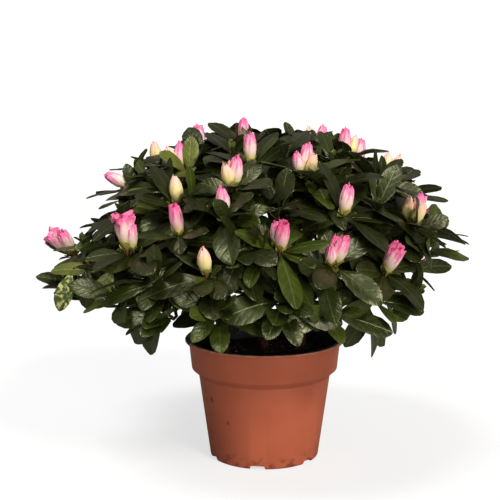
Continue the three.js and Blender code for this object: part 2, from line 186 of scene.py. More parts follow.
def overlay(tree, shade, *layers):
    # each layer is where it lies, how strong it is there, and its colour
    for mask, strength, colour in layers:
        shade = blendColours(tree, times(tree, mask, strength), shade, colour)
    return shade


def newMaterial(name, inputs):
    material = bpy.data.materials.new(name)
    material.use_nodes = True
    for socket, value in inputs.items():
        feed(material.node_tree, material.node_tree.nodes["Principled BSDF"].inputs[socket], value)
    return material, material.node_tree


def surface(tree, colour=None, roughness=None, relief=None, strength=1.0, distance=0.001):
    # what the shader is fed: a colour, a roughness, and a relief with the height that it stands for
    normal = None
    if relief is not None:
        bump = addNode(tree, "ShaderNodeBump", {"Height": relief, "Strength": strength, "Distance": distance})
        normal = bump.outputs[0]
    for socket, value in (("Base Color", colour), ("Roughness", roughness), ("Normal", normal)):
        if value is not None:
            feed(tree, tree.nodes["Principled BSDF"].inputs[socket], value)


def newGroup(name, inputs, outputs):
    tree = bpy.data.node_groups.new(name, "ShaderNodeTree")
    for socketName, value in inputs.items():
        socket = tree.interface.new_socket(socketName, in_out="INPUT", socket_type="NodeSocketFloat")
        socket.default_value = value
    for socketName in outputs:
        tree.interface.new_socket(socketName, in_out="OUTPUT", socket_type="NodeSocketFloat")
    return tree, tree.nodes.new("NodeGroupInput").outputs, tree.nodes.new("NodeGroupOutput").inputs


def useGroup(tree, group, **inputs):
    return addNode(tree, "ShaderNodeGroup", inputs, node_tree=group).outputs


# Grain: soft noise at the piece's own scale, for mottling, roughness and fine relief
def makeGrainGroup():
    tree, given, result = newGroup("grain", {"Scale": 100.0, "Detail": 4.0}, ["Value", "Fine"])
    fineScale = times(tree, given["Scale"], 6.0)
    for name, scale, detail in (("Value", given["Scale"], given["Detail"]), ("Fine", fineScale, 2.0)):
        noise = addNode(tree, "ShaderNodeTexNoise", {"Vector": addPlace(tree), "Scale": scale, "Detail": detail})
        feed(tree, result[name], noise.outputs["Fac"])
    return tree


# Specks: small separate spots, each cell of the pattern holding one or none
def makeSpecksGroup():
    tree, given, result = newGroup("specks", {"Scale": 100.0, "Size": 0.2, "Share": 0.3}, ["Mask"])
    cells = addNode(tree, "ShaderNodeTexVoronoi", {"Vector": addPlace(tree), "Scale": given["Scale"]})
    chance = addNode(tree, "ShaderNodeSeparateColor", {"Color": cells.outputs["Color"]}).outputs[0]
    size = times(tree, given["Size"], calculate(tree, "LESS_THAN", chance, given["Share"]))
    near = calculate(tree, "SUBTRACT", size, cells.outputs["Distance"])
    feed(tree, result["Mask"], remap(tree, near, 0.0, 0.12))
    return tree


# Veins of a leaf, from its own map: the rib down the middle and the side veins that run forward from it
def makeVeinsGroup():
    tree, given, result = newGroup("veins", {"Count": 7.0, "Slant": 0.22}, ["Rib", "Vein", "Across", "Along"])
    leafMap = addNode(tree, "ShaderNodeUVMap", uv_map="blade").outputs[0]
    parts = addNode(tree, "ShaderNodeSeparateXYZ", {"Vector": leafMap}).outputs
    across = calculate(tree, "ABSOLUTE", times(tree, calculate(tree, "SUBTRACT", parts[0], 0.5), 2.0))
    forward = calculate(tree, "SUBTRACT", parts[1], times(tree, across, given["Slant"]))
    turns = times(tree, times(tree, forward, given["Count"]), 2 * math.pi)
    wave = calculate(tree, "MULTIPLY_ADD", calculate(tree, "COSINE", turns), 0.5, 0.5)
    feed(tree, result["Rib"], remap(tree, across, 0.09, 0.02))
    feed(tree, result["Vein"], calculate(tree, "POWER", wave, 4.0))
    feed(tree, result["Across"], across)
    feed(tree, result["Along"], parts[1])
    return tree


grain = makeGrainGroup()
specks = makeSpecksGroup()
veins = makeVeinsGroup()
print("tools and shared patterns ready")


# The camera stands where the photograph was taken from
cameraView = {"place": (0, -1.003968, 0.33435), "pitch": 9.28, "yaw": 0.675, "lens": 90.49, "sensor": 36, "sight": 200}
studio = {
    "floorSize": 80.0,
    "floorColour": (158, 160, 164),
    "floorBounce": (150, 148, 145),
    "floorGlow": 0.68,
    "backdropStrength": 1.15,
    "ambient": 0.26,
    "ambientColour": (1.0, 0.97, 0.92, 1.0),
    "white": (1.0, 1.0, 1.0, 1.0),
    "lights": [
        {"turn": (54, 0, 32), "strength": 2.0, "spread": 14, "colour": (1.0, 0.95, 0.85)},
        {"turn": (24, 0, -40), "strength": 1.8, "spread": 24, "colour": (1.0, 0.97, 0.92)},
        {"turn": (80, 0, 26), "strength": 1.35, "spread": 24, "colour": (1.0, 0.97, 0.92)},
    ],
}


def makeCamera():
    turn = (math.radians(90 - cameraView["pitch"]), 0, math.radians(cameraView["yaw"]))
    bpy.ops.object.camera_add(location=cameraView["place"], rotation=turn)
    camera = bpy.context.object
    camera.data.lens = cameraView["lens"]
    camera.data.sensor_width = cameraView["sensor"]
    camera.data.clip_end = cameraView["sight"]
    bpy.context.scene.camera = camera


def makeFloor():
    bpy.ops.mesh.primitive_plane_add(size=studio["floorSize"])
    floor = bpy.context.object
    floor.name = "floor"
    given = {"Roughness": 0.9, "Specular IOR Level": 0.1, "Emission Color": studio["white"]}
    floorPaint, tree = newMaterial("floorPaint", given)
    seen = addNode(tree, "ShaderNodeLightPath").outputs["Is Camera Ray"]
    surface(tree, blendColours(tree, seen, studio["floorBounce"], studio["floorColour"]))
    glow = times(tree, seen, studio["floorGlow"])
    feed(tree, tree.nodes["Principled BSDF"].inputs["Emission Strength"], glow)
    dress(floor, [floorPaint])


def makeLights():
    for lamp in studio["lights"]:
        bpy.ops.object.light_add(type="SUN", rotation=[math.radians(angle) for angle in lamp["turn"]])
        light = bpy.context.object.data
        light.energy = lamp["strength"]
        light.angle = math.radians(lamp["spread"])
        light.color = lamp["colour"]
    world = bpy.data.worlds.new("studio")
    world.use_nodes = True
    tree = world.node_tree
    seen = addNode(tree, "ShaderNodeLightPath").outputs["Is Camera Ray"]
    strength = remap(tree, seen, 0.0, 1.0, studio["ambient"], studio["backdropStrength"])
    background = tree.nodes["Background"].inputs
    feed(tree, background["Color"], blendColours(tree, seen, studio["ambientColour"], studio["white"]))
    feed(tree, background["Strength"], strength)
    bpy.context.scene.world = world
    bpy.context.scene.view_settings.view_transform = "Standard"


makeCamera()
makeFloor()
makeLights()
print("camera, floor and lights placed")


# The pot: moulded plastic, terracotta outside and black inside, with a band, a rolled lip and six drains
pot = {
    "height": 0.098,
    "lipRadius": 0.065,
    "lipThickness": 0.002,
    "lipRounding": 0.0006,
    "bandTopRadius": 0.0618,
    "bandFootRadius": 0.0593,
    "bandFootHeight": 0.0738,
    "wallTopRadius": 0.0538,
    "wallTopHeight": 0.0685,
    "footRadius": 0.0445,
    "footRounding": 0.0015,
    "wall": 0.0015,
    "facets": 108,
    "shellFloor": 0.0062,
    "outside": (184, 97, 71),
    "inside": (16, 14, 13),
}
drain = {
    "count": 6,
    "firstTurn": -7,
    "footWidth": 0.015,
    "topWidth": 0.0105,
    "height": 0.003,
    "depth": 0.011,
    "beyond": 0.006,
}


def roundedStep(start, end, bulge, steps):
    # a soft edge between two places of a profile, bowed out square to the line between them
    level, rise = end[0] - start[0], end[1] - start[1]
    reach = math.hypot(level, rise)
    points = []
    for i in range(1, steps):
        share = i / steps
        out = bulge * math.sin(math.pi * share)
        points.append((start[0] + share * level + out * rise / reach, start[1] + share * rise - out * level / reach))
    return points


def potProfile():
    wall, rounding, lipUnder = pot["wall"], pot["lipRounding"], pot["height"] - pot["lipThickness"]
    lipOuter, soft = pot["lipRadius"] - rounding, 0.5 * millimetre
    foot = (pot["footRadius"] - pot["footRounding"], 0)
    footTop = (pot["footRadius"], pot["footRounding"])
    shoulder = (pot["wallTopRadius"], pot["wallTopHeight"])
    bandFoot = (pot["bandFootRadius"], pot["bandFootHeight"])
    outside = [
        *roundedStep(foot, footTop, 0.3 * millimetre, 3),
        footTop,
        shoulder,
        *roundedStep(shoulder, bandFoot, -0.2 * millimetre, 3),
        bandFoot,
        (bandFoot[0] + soft / 2, bandFoot[1] + soft),
        (pot["bandTopRadius"], lipUnder - rounding),
        (pot["bandTopRadius"] + soft, lipUnder),
        (lipOuter, lipUnder),
        *roundedStep((lipOuter, lipUnder), (lipOuter, pot["height"]), rounding, 5),
        (lipOuter, pot["height"]),
    ]
    inside = [
        (pot["bandTopRadius"] - wall + soft, pot["height"]),
        (pot["bandTopRadius"] - wall, pot["height"] - soft),
        (bandFoot[0] - wall, bandFoot[1] + wall / 2),
        (shoulder[0] - wall, shoulder[1] + wall / 2),
        (pot["footRadius"] - wall, pot["shellFloor"]),
    ]
    return foot, outside + inside


def latheRings(rings, start):
    # extrudes the chosen ring from each place of a profile to the next
    radius, height = start
    for nextRadius, nextHeight in rings:
        bpy.ops.mesh.extrude_edges_move()
        stretch(nextRadius / radius, nextRadius / radius, 1)
        shift(0, 0, nextHeight - height)
        radius, height = nextRadius, nextHeight


def makeDrainBars():
    # six wedge-sided bars, the shape of what the drains leave open
    bars = []
    length = drain["depth"] + drain["beyond"]
    for i in range(drain["count"]):
        bpy.ops.mesh.primitive_cube_add(size=1)
        bar = bpy.context.object
        startEdit(bar)
        stretch(drain["footWidth"], length, 2 * drain["height"])
        shift(0, drain["depth"] - length / 2 - pot["footRadius"], 0)
        choose(bar, "verts", lambda place: place.z > 0)
        stretch(drain["topWidth"] / drain["footWidth"], 1, 1)
        endEdit()
        bar.data.transform(Matrix.Rotation(math.radians(drain["firstTurn"] + i * 360 / drain["count"]), 4, "Z"))
        bars.append(bar)
    takeInHand(bars[0])
    for bar in bars:
        bar.select_set(True)
    bpy.ops.object.join()
    return bars[0]


def makePotPlastic():
    material, tree = newMaterial("terracottaPlastic", {"Specular IOR Level": 0.28})
    parts = addNode(tree, "ShaderNodeSeparateXYZ", {"Vector": addPlace(tree)}).outputs
    height = parts[2]
    squares = [calculate(tree, "POWER", part, 2.0) for part in parts[:2]]
    radius = calculate(tree, "POWER", calculate(tree, "ADD", *squares), 0.5)
    mottle = useGroup(tree, grain, Scale=38.0, Detail=5.0)
    flow = useGroup(tree, grain, Scale=160.0, Detail=3.0)
    shade = blendColours(tree, remap(tree, mottle["Value"], 0.3, 0.75), pot["outside"], (177, 92, 65))
    # soil stains at the foot, small spots over the whole wall and more of them low down, pale scuffs, and
    # a painted highlight in patches along the top edge of the lip
    low = remap(tree, height, 0.014, 0.002)
    smudge = times(tree, remap(tree, flow["Value"], 0.48, 0.64), low)
    stain = calculate(tree, "MAXIMUM", times(tree, remap(tree, height, 0.0022, 0.0004), 0.6), smudge)
    dots = useGroup(tree, specks, Scale=70.0, Size=0.21, Share=0.11)["Mask"]
    lowDots = times(tree, useGroup(tree, specks, Scale=130.0, Size=0.3, Share=0.12)["Mask"], low)
    dirt = calculate(tree, "MAXIMUM", dots, lowDots)
    scuffs = useGroup(tree, specks, Scale=110.0, Size=0.14, Share=0.02)["Mask"]
    # painted highlight: a paler colour in patches along the top edge of the lip, standing in for the light on its
    # rounded edge
    lipHighlight = times(tree, remap(tree, height, 0.0966, 0.0978), remap(tree, flow["Value"], 0.35, 0.6, 0.25, 0.7))
    # the black of the inside comes over the lip at its inner edge, and at its left end
    leftEnd = remap(tree, parts[0], -0.0585, -0.0605)
    within = calculate(tree, "MAXIMUM", leftEnd, remap(tree, radius, 0.0634, 0.0628))
    blackened = times(tree, remap(tree, height, 0.0955, 0.0962), within)
    shade = overlay(
        tree,
        shade,
        (stain, 0.7, (104, 48, 30)),
        (dirt, 0.75, (96, 32, 20)),
        (scuffs, 0.4, (214, 150, 126)),
        (lipHighlight, 1.0, (222, 168, 146)),
        (blackened, 1.0, pot["inside"]),
    )
    relief = calculate(tree, "MULTIPLY_ADD", dirt, 1.5, flow["Fine"])
    surface(tree, shade, remap(tree, mottle["Fine"], 0.3, 0.7, 0.44, 0.56), relief, strength=0.12, distance=0.0004)
    return material


def makeBlackPlastic():
    material, tree = newMaterial("blackPlastic", {"Base Color": pot["inside"]})
    dust = useGroup(tree, grain, Scale=120.0, Detail=4.0)
    surface(tree, roughness=remap(tree, dust["Value"], 0.35, 0.65, 0.25, 0.5))
    return material


def makePot():
    foot, profile = potProfile()
    bpy.ops.mesh.primitive_circle_add(vertices=pot["facets"], radius=foot[0], fill_type="NGON")
    piece = bpy.context.object
    piece.name = "potShell"
    startEdit(piece)
    latheRings(profile, foot)
    bpy.ops.mesh.edge_face_add()
    closeSolid()
    bars = makeDrainBars()
    finishWith(piece, "BOOLEAN", object=bars, operation="DIFFERENCE", solver="EXACT")
    bpy.data.objects.remove(bars)
    dress(piece, [makePotPlastic(), makeBlackPlastic()])
    wallSlope = (pot["wallTopRadius"] - pot["footRadius"]) / pot["wallTopHeight"]
    bandSlope = 0.1

    def isInside(place):
        # within the middle of the wall
        radius = math.hypot(place.x, place.y) + pot["wall"] / 2
        if place.z > pot["bandFootHeight"]:
            return radius < pot["bandTopRadius"] - (pot["height"] - place.z) * bandSlope
        return place.z > pot["shellFloor"] / 2 and radius < pot["footRadius"] + place.z * wallSlope

    startEdit(piece)
    choose(piece, "faces", isInside)
    paintChosen(piece, 1)
    endEdit()
    settle(piece, 24, "pot_plastic", "pot")


makePot()
print("pot turned, drained and painted")


# The peat: a lumpy top with crumbs and bits of root and bark on it
peat = {
    "top": 0.0855,
    "edgeTop": 0.0835,
    "levelRadius": 0.044,
    "gap": 0.0006,
    "rings": 30,
    "facets": 120,
    "lumpSize": 0.011,
    "lumpHeight": 0.0045,
    "crumbReach": 0.0553,
    "crumbTip": 0.4,
    "crumbs": 420,
    "crumbSize": (0.0006, 0.0019),
    "crumbWidth": (0.6, 1.0),
    "crumbHeight": (0.5, 0.9),
    "darkCrumbs": 0.8,
    "fibres": 90,
    "fibreSize": ((0.002, 0.005), (0.00025, 0.0005), (0.0002, 0.00035)),
    "rootFibres": 0.6,
    "seed": 5,
}


def seededDraws(seed):
    state = [seed * 7919 + 17]

    def draw(low, high):
        state[0] = (state[0] * 1664525 + 1013904223) % 4294967296
        return low + (high - low) * state[0] / 4294967296

    for _ in range(4):
        draw(0, 1)
    return draw


def makePeatMaterial(name, dark, light, scale):
    material, tree = newMaterial(name, {"Roughness": 0.95, "Specular IOR Level": 0.2})
    look = useGroup(tree, grain, Scale=scale, Detail=6.0)["Fine"]
    shade = blendColours(tree, remap(tree, look, 0.35, 0.7), dark, light)
    surface(tree, shade, relief=look, strength=0.7, distance=0.0012)
    return material


def makePeat():
    gap = pot["wall"] + peat["gap"]
    floor = (pot["footRadius"] - gap, pot["shellFloor"] + peat["gap"])
    bandSlope = (pot["bandTopRadius"] - pot["bandFootRadius"]) / (pot["height"] - pot["bandFootHeight"])
    edge = pot["bandFootRadius"] + (peat["edgeTop"] - pot["bandFootHeight"]) * bandSlope - gap
    rings = [
        (pot["wallTopRadius"] - gap, pot["wallTopHeight"]),
        (pot["bandFootRadius"] - gap, pot["bandFootHeight"] + pot["wall"]),
        (edge, peat["edgeTop"]),
    ]
    for i in range(1, peat["rings"]):
        radius = edge * (1 - i / peat["rings"])
        rise = min(1, (edge - radius) / (edge - peat["levelRadius"]))
        rings.append((radius, peat["edgeTop"] + rise * (peat["top"] - peat["edgeTop"])))
    place = (0, 0, floor[1])
    bpy.ops.mesh.primitive_circle_add(vertices=peat["facets"], radius=floor[0], location=place, fill_type="NGON")
    piece = bpy.context.object
    piece.name = "peat"
    bpy.ops.object.transform_apply(location=True)
    startEdit(piece)
    latheRings(rings, floor)
    bpy.ops.mesh.merge(type="CENTER")
    closeSolid()
    level = [v.index for v in piece.data.vertices if v.co.z > peat["edgeTop"] + 0.1 * millimetre]
    piece.vertex_groups.new(name="top").add(level, 1.0, "REPLACE")
    lumps = {"texture": makeClouds("peatLumps", peat["lumpSize"], 4), "strength": peat["lumpHeight"]}
    finishWith(piece, "DISPLACE", **lumps, direction="Z", vertex_group="top")
    dress(piece, [makePeatMaterial("dampPeat", (20, 14, 10), (58, 40, 29), 260.0)])
    settle(piece, 60, "peat", "soil")
    return piece


def readShape(piece, mapWidth=1.0, mapLength=1.0):
    # a modelled mesh as arrays, with a flat map of it, to be copied many times into one joined mesh
    points = np.array([vertex.co for vertex in piece.data.vertices])
    faces = [list(face.vertices) for face in piece.data.polygons]
    flatMap = np.stack([0.5 + points[:, 0] / mapWidth, points[:, 1] / mapLength], axis=1)
    slots = [face.material_index for face in piece.data.polygons]
    bpy.data.objects.remove(piece)
    return {"points": points, "faces": faces, "slots": slots, "map": flatMap[np.concatenate(faces)]}


def joinCopies(name, copies, materials):
    # each copy has a shape, its own points, and the material slot of each of the shape's slots
    faces, slots, start = [], [], 0
    for copy in copies:
        faces += [[start + corner for corner in face] for face in copy["shape"]["faces"]]
        slots += [copy["slots"][slot] for slot in copy["shape"]["slots"]]
        start += len(copy["points"])
    mesh = bpy.data.meshes.new(name)
    mesh.from_pydata(np.concatenate([copy["points"] for copy in copies]).tolist(), [], faces)
    mesh.polygons.foreach_set("material_index", slots)
    flatMaps = np.concatenate([copy["shape"]["map"] for copy in copies])
    mesh.uv_layers.new(name="blade").data.foreach_set("uv", flatMaps.ravel())
    piece = addPiece(name, mesh)
    dress(piece, materials)
    return piece


def moved(points, matrix):
    whole = np.array(matrix)
    return points @ whole[:3, :3].T + whole[:3, 3]


def makeCrumbShape():
    bpy.ops.mesh.primitive_ico_sphere_add(subdivisions=1, radius=1)
    crumb = bpy.context.object
    startEdit(crumb)
    choose(crumb, "verts", lambda place: place.z > 0.3)
    stretch(0.7, 1.2, 0.8, centre=(0.2, 0, 0))
    choose(crumb, "verts", lambda place: place.x > 0.2)
    shift(0.25, -0.1, 0.1)
    endEdit()
    return readShape(crumb)


def scatterOnPeat(ground):
    mesh = ground.data
    tree = BVHTree.FromPolygons([v.co for v in mesh.vertices], [f.vertices for f in mesh.polygons])
    crumb = makeCrumbShape()
    draw = seededDraws(peat["seed"])
    copies = []
    for i in range(peat["crumbs"] + peat["fibres"]):
        turn, out = draw(0, 2 * math.pi), peat["crumbReach"] * math.sqrt(draw(0, 1))
        above = Vector((out * math.cos(turn), out * math.sin(turn), pot["height"]))
        if i < peat["crumbs"]:
            size = draw(*peat["crumbSize"])
            stretched = (size, size * draw(*peat["crumbWidth"]), size * draw(*peat["crumbHeight"]))
            slots = {0: 0 if draw(0, 1) < peat["darkCrumbs"] else 1}
        else:
            stretched = [draw(*between) for between in peat["fibreSize"]]
            slots = {0: 1 if draw(0, 1) < peat["rootFibres"] else 2}
        spin = Matrix.Rotation(draw(0, 2 * math.pi), 4, "Z")
        spin = spin @ Matrix.Rotation(draw(-peat["crumbTip"], peat["crumbTip"]), 4, "Y")
        hit = tree.ray_cast(above, -zAxis)[0]
        matrix = Matrix.Translation(hit) @ spin @ Matrix.Diagonal((*stretched, 1))
        copies.append({"shape": crumb, "points": moved(crumb["points"], matrix), "slots": slots})
    materials = [
        makePeatMaterial("peatCrumb", (26, 18, 13), (72, 50, 36), 500.0),
        makePeatMaterial("rootBit", (104, 72, 52), (168, 128, 98), 700.0),
        makePeatMaterial("barkBit", (46, 28, 20), (88, 58, 42), 700.0),
    ]
    settle(joinCopies("peatCrumbs", copies, materials), 30, "peat")


scatterOnPeat(makePeat())
print("peat laid")


# The plan of the plant, by the rule that its solids follow. The shoots stand on a leaning dome, a turn
# of 0 is the front and a slope of 0 its top.
crown = {"place": (-0.010, 0, 0.156), "out": 0.146, "up": 0.095, "tilt": 6, "lowestSlope": 103, "lowest": 0.145}
upperSides = ["_front", "_right", "_back_right", "_back_left", "_left"]
lowerSides = ["_front", "_front_right", "_right", "_back_right", "_back", "_back_left", "_left", "_front_left"]
rings = [
    {"level": "top", "turn": 0, "slope": 0, "sides": [""]},
    {"level": "upper", "turn": 12, "slope": 40, "sides": upperSides},
    {"level": "lower", "turn": 4, "slope": 78, "sides": lowerSides},
]
massPlan = {"hub": (-0.005, 0, 0.118), "entry": 0.46, "fork": 0.6}
shootPlan = {
    "count": 92,
    "goldenTurn": 137.508,
    "lift": 0.9,
    "spacing": 0.046,
    "spreadSteps": 40,
    "spread": 0.25,
    "seed": 11,
    "finerSeed": 2000,
    "openBelow": 0.176,
    "openBeyond": 0.085,
}
# where the crown is hollow: shoots within such a distance are drawn in towards the hub and thinned out,
# and those around, within the other distance, have leaves that reach less far
hollows = [
    {"turn": -90, "slope": 55, "within": 0.046, "drawnIn": 0.3, "around": 0.085, "reach": 0.98},
    {"turn": 88, "slope": 100, "within": 0.045, "drawnIn": 0.25, "around": 0.060, "reach": 1.0},
    {"turn": -92, "slope": 96, "within": 0.045, "drawnIn": 0.25, "around": 0.045, "reach": 1.0},
    {"turn": -48, "slope": 98, "within": 0.0, "drawnIn": 0.0, "around": 0.050, "reach": 1.0},
]
# the shoots listed here, five to a line and counted from 0: turn, slope, buds, and how far the first is open
seenShoots = [
    *((-84, 74, 2, 0.85), (-39, 66, 3, 1.0), (-21, 60, 1, 0.3), (-26, 46, 1, 0.0), (-7, 53, 1, 0.1)),
    *((-3, 38, 3, 0.2), (9, 24, 1, 0.3), (171, 6, 1, 0.2), (-98, 28, 1, 0.1), (-77, 38, 1, 0.2)),
    *((-49, 25, 2, 0.0), (10, 70, 2, 0.4), (33, 37, 3, 0.3), (97, 35, 2, 0.3), (115, 46, 1, 0.2)),
    *((88, 53, 2, 0.0), (63, 71, 3, 0.3), (25, 79, 3, 0.4), (42, 87, 2, 0.6), (-11, 77, 1, 0.0)),
    *((35, 60, 1, 0.3), (-27, 79, 0, 0), (-52, 75, 0, 0), (-70, 86, 0, 0), (-41, 87, 0, 0)),
    *((-9, 91, 0, 0), (9, 90, 0, 0), (23, 99, 0, 0), (14, 51, 0, 0), (38, 98, 0, 0)),
    *((53, 99, 0, 0), (64, 84, 0, 0), (85, 82, 0, 0)),
]
# those of them that also have hanging leaves: 22 has them on a spur, one with pale patches
hangingRows = {
    21: {"turns": (-34, -8), "tilt": (122, 140), "length": (0.045, 0.050)},
    22: {
        "spur": [(0.012, -0.010, 0.006), (-0.007, -0.014, 0.007), (-0.017, -0.014, 0.004)],
        "axis": (0, -1, 0.15),
        "turns": (-22, -6, -18),
        "tilt": (88, 96),
        "length": (0.029, 0.034),
        "patched": 2,
    },
    25: {"turns": (-24, 6), "tilt": (74, 84), "length": (0.029, 0.033)},
    26: {"turns": (-30, 12), "tilt": (86, 96), "length": (0.029, 0.033)},
    29: {"turns": (-38, 0, 38), "tilt": (118, 132), "length": (0.035, 0.041)},
}
# leaves left out, by the number of the shoot of all 92: where the crown has gaps, and where they would
# hide an open flower
leftOut = {23: (7, 9, 12), 31: (1, 7, 12), 53: (6,), 58: (8,), 65: (2, 3, 8), 66: (0, 5, 12), 79: (2, 3)}
# how far the tips of the leaves reach, as a share of the dome, and how a longer leaf is shortened
outline = {"reach": 1.2, "steps": 9, "shorten": 0.955}
# the buds of the shoots behind, by chance, and the shoots there that have none
bloomBehind = {"fromTurn": 100, "share": 0.45, "mostBuds": 3, "mostOpen": 0.8, "budless": (62,)}

dome = Matrix.Translation(crown["place"]) @ Matrix.Rotation(math.radians(-crown["tilt"]), 4, "Y")
dome = dome @ Matrix.Diagonal((crown["out"], crown["out"], crown["up"], 1))
fromDome = dome.inverted()
domeNormals = dome.to_3x3().inverted().transposed()


def domePlace(turn, slope):
    turn, slope = math.radians(turn), math.radians(slope)
    out = math.sin(slope)
    return dome @ Vector((out * math.sin(turn), -out * math.cos(turn), math.cos(slope)))


def nearestRow(place, rows, placeName):
    return min(rows, key=lambda row: (row[placeName] - place).length)


def shootPlaces():
    # evenly round the dome by the golden turn, the nearest ones moved to the listed shoots, and the
    # others then spread between them
    lowest = 1 - math.cos(math.radians(crown["lowestSlope"]))
    count = shootPlan["count"]
    places = []
    for i in range(count):
        slope = math.degrees(math.acos(1 - lowest * (i + 0.5) / count))
        places.append({"place": domePlace(i * shootPlan["goldenTurn"], slope), "seen": None, "row": None})
    for row, (turn, slope, buds, opened) in enumerate(seenShoots):
        wanted = domePlace(turn, slope)
        nearest = nearestRow(wanted, [one for one in places if not one["seen"]], "place")
        nearest.update(place=wanted, seen={"buds": buds, "open": opened}, row=row)
    for _ in range(shootPlan["spreadSteps"]):
        for one in places:
            if one["seen"]:
                continue
            push = Vector()
            for other in places:
                away = one["place"] - other["place"]
                short = shootPlan["spacing"] - away.length
                if other is not one and short > 0:
                    push += away * (short / away.length)
            spread = one["place"] + push * shootPlan["spread"]
            spread.z = max(spread.z, crown["lowest"])
            one["place"] = dome @ (fromDome @ spread).normalized()
    return places


def drawBloomBehind(place, draw):
    turn = math.degrees(math.atan2(place.x - crown["place"][0], -(place.y - crown["place"][1])))
    chance = draw(0, 1)
    buds = 1 + math.floor(draw(0, bloomBehind["mostBuds"]))
    opened = draw(0, bloomBehind["mostOpen"])
    blooms = abs(turn) > bloomBehind["fromTurn"] and chance < bloomBehind["share"]
    return {"buds": buds, "open": opened} if blooms else None


def makeShoot(number, start):
    # each has side shoots and finer leaves, but fewer in a hollow and none lowest at the two sides
    draw = seededDraws(shootPlan["seed"] + number)
    outward = (domeNormals @ (fromDome @ start["place"])).normalized()
    place, thin, reach = start["place"], False, outline["reach"]
    for hollow in hollows:
        away = (start["place"] - domePlace(hollow["turn"], hollow["slope"])).length
        if away < hollow["around"] and not start["seen"]:
            reach = hollow["reach"]
        if away < hollow["within"] and not start["seen"]:
            thin = True
            place = start["place"].lerp(Vector(massPlan["hub"]), hollow["drawnIn"])
    bloom = start["seen"] or drawBloomBehind(start["place"], draw)
    low = place.z < shootPlan["openBelow"] and abs(place.x - crown["place"][0]) > shootPlan["openBeyond"]
    return {
        "number": number,
        "place": place,
        "reach": reach,
        "row": start["row"],
        "open": thin or low,
        "sides": 0 if low else 1 if thin else 2,
        "axis": (outward + zAxis * shootPlan["lift"]).normalized(),
        "bloom": None if number in bloomBehind["budless"] else bloom,
        "draw": draw,
        "finer": seededDraws(shootPlan["finerSeed"] + number),
    }


def makeMasses():
    hub = Vector(massPlan["hub"])
    masses = []
    for ring in rings:
        for i, side in enumerate(ring["sides"]):
            centre = domePlace(ring["turn"] + i * 360 / len(ring["sides"]), ring["slope"])
            mass = {"name": ring["level"] + side, "centre": centre, "shoots": []}
            masses.append({**mass, **{name: hub.lerp(centre, massPlan[name]) for name in ("entry", "fork")}})
    for shoot in shoots:
        nearestRow(shoot["place"], masses, "centre")["shoots"].append(shoot)
    return masses


def sideways(axis, turn):
    # a direction square to an axis, at this turn round it
    nearlyUpright = 0.05
    right = axis.cross(zAxis)
    right = Vector((1, 0, 0)) if right.length < nearlyUpright else right.normalized()
    return Matrix.Rotation(math.radians(turn), 3, axis) @ right


shoots = [makeShoot(i, start) for i, start in enumerate(shootPlaces())]
masses = makeMasses()
print("plant planned:", len(masses), "masses and", len(shoots), "shoots")


# The wood: stems and boughs with the bark's relief, and thinner twigs in each mass. Radii are in millimetres.
stemPlan = {
    "foot": 0.0863,
    "footRadius": 5.2,
    "flareHeight": 0.007,
    "radius": 3.7,
    "tipRadius": 2.6,
    "kneeOut": 0.008,
    "under": 0.004,
    "points": 14,
    "voxel": 0.0006,
    "ridgeSize": 0.0022,
    "ridgeHeight": 0.0011,
    "ridgeMiddle": 0.55,
}
stemRows = [
    {"name": "left", "x": -0.031, "y": -0.005, "lean": 0.32, "height": 0.050},
    {"name": "middle", "x": 0.0, "y": -0.002, "lean": 0.0, "height": 0.058},
    {"name": "right", "x": 0.030, "y": 0.016, "lean": 0.28, "height": 0.050},
    {"name": "back", "x": -0.003, "y": 0.034, "lean": 0.30, "height": 0.048},
]
boughPlan = {
    "radii": (2.3, 1.5),
    "rise": 0.6,
    "bend": 0.42,
    "firstBelowTip": 0.005,
    "apart": 0.007,
    "crowding": 0.014,
    "points": 12,
}
twigPlan = {
    "radii": (1.5, 1.0),
    "bend": 0.3,
    "points": 7,
    "wander": 0.0016,
    "sideShares": (0.4, 0.72),
    "sideLength": 0.016,
    "sideRadii": (0.78, 0.6, 0.48),
    "sideForward": 0.9,
    "sideUp": 0.3,
}


def curvePoints(corners, count):
    # points along a Bezier curve with any number of corners
    order = len(corners) - 1
    points = []
    for i in range(count):
        at = i / (count - 1)
        weights = [math.comb(order, k) * at**k * (1 - at) ** (order - k) for k in range(order + 1)]
        points.append(sum((corner * weight for corner, weight in zip(corners, weights)), Vector()))
    return points


def tapered(places, radii):
    span, last = radii[1] - radii[0], len(places) - 1
    return [(place, radii[0] + span * i / last) for i, place in enumerate(places)]


def tubes(name, limbs, facetLevel):
    # limbs are lists of (place, radius); all become one mesh with closed ends
    curve = bpy.data.curves.new(name, "CURVE")
    curve.dimensions = "3D"
    curve.bevel_depth = millimetre
    curve.bevel_resolution = facetLevel
    curve.use_fill_caps = True
    for limb in limbs:
        spline = curve.splines.new("POLY")
        spline.points.add(len(limb) - 1)
        for point, (place, radius) in zip(spline.points, limb):
            point.co = (*place, 1)
            point.radius = radius
    takeInHand(addPiece(name, curve))
    bpy.ops.object.convert(target="MESH")
    return bpy.context.object


def stemCorners(row):
    foot = Vector((row["x"], row["y"], stemPlan["foot"]))
    away = Vector((row["x"], row["y"], 0)).normalized()
    height, lean = row["height"], row["lean"]
    knee = foot + zAxis * height / 2 + away * lean * stemPlan["kneeOut"]
    return [foot - zAxis * stemPlan["under"], knee, foot + zAxis * height + away * lean * height]


def stemRadius(row, share):
    flare = max(0, 1 - share * row["height"] / stemPlan["flareHeight"])
    plain = stemPlan["radius"] + share * (stemPlan["tipRadius"] - stemPlan["radius"])
    return plain + flare * flare * (stemPlan["footRadius"] - stemPlan["radius"])


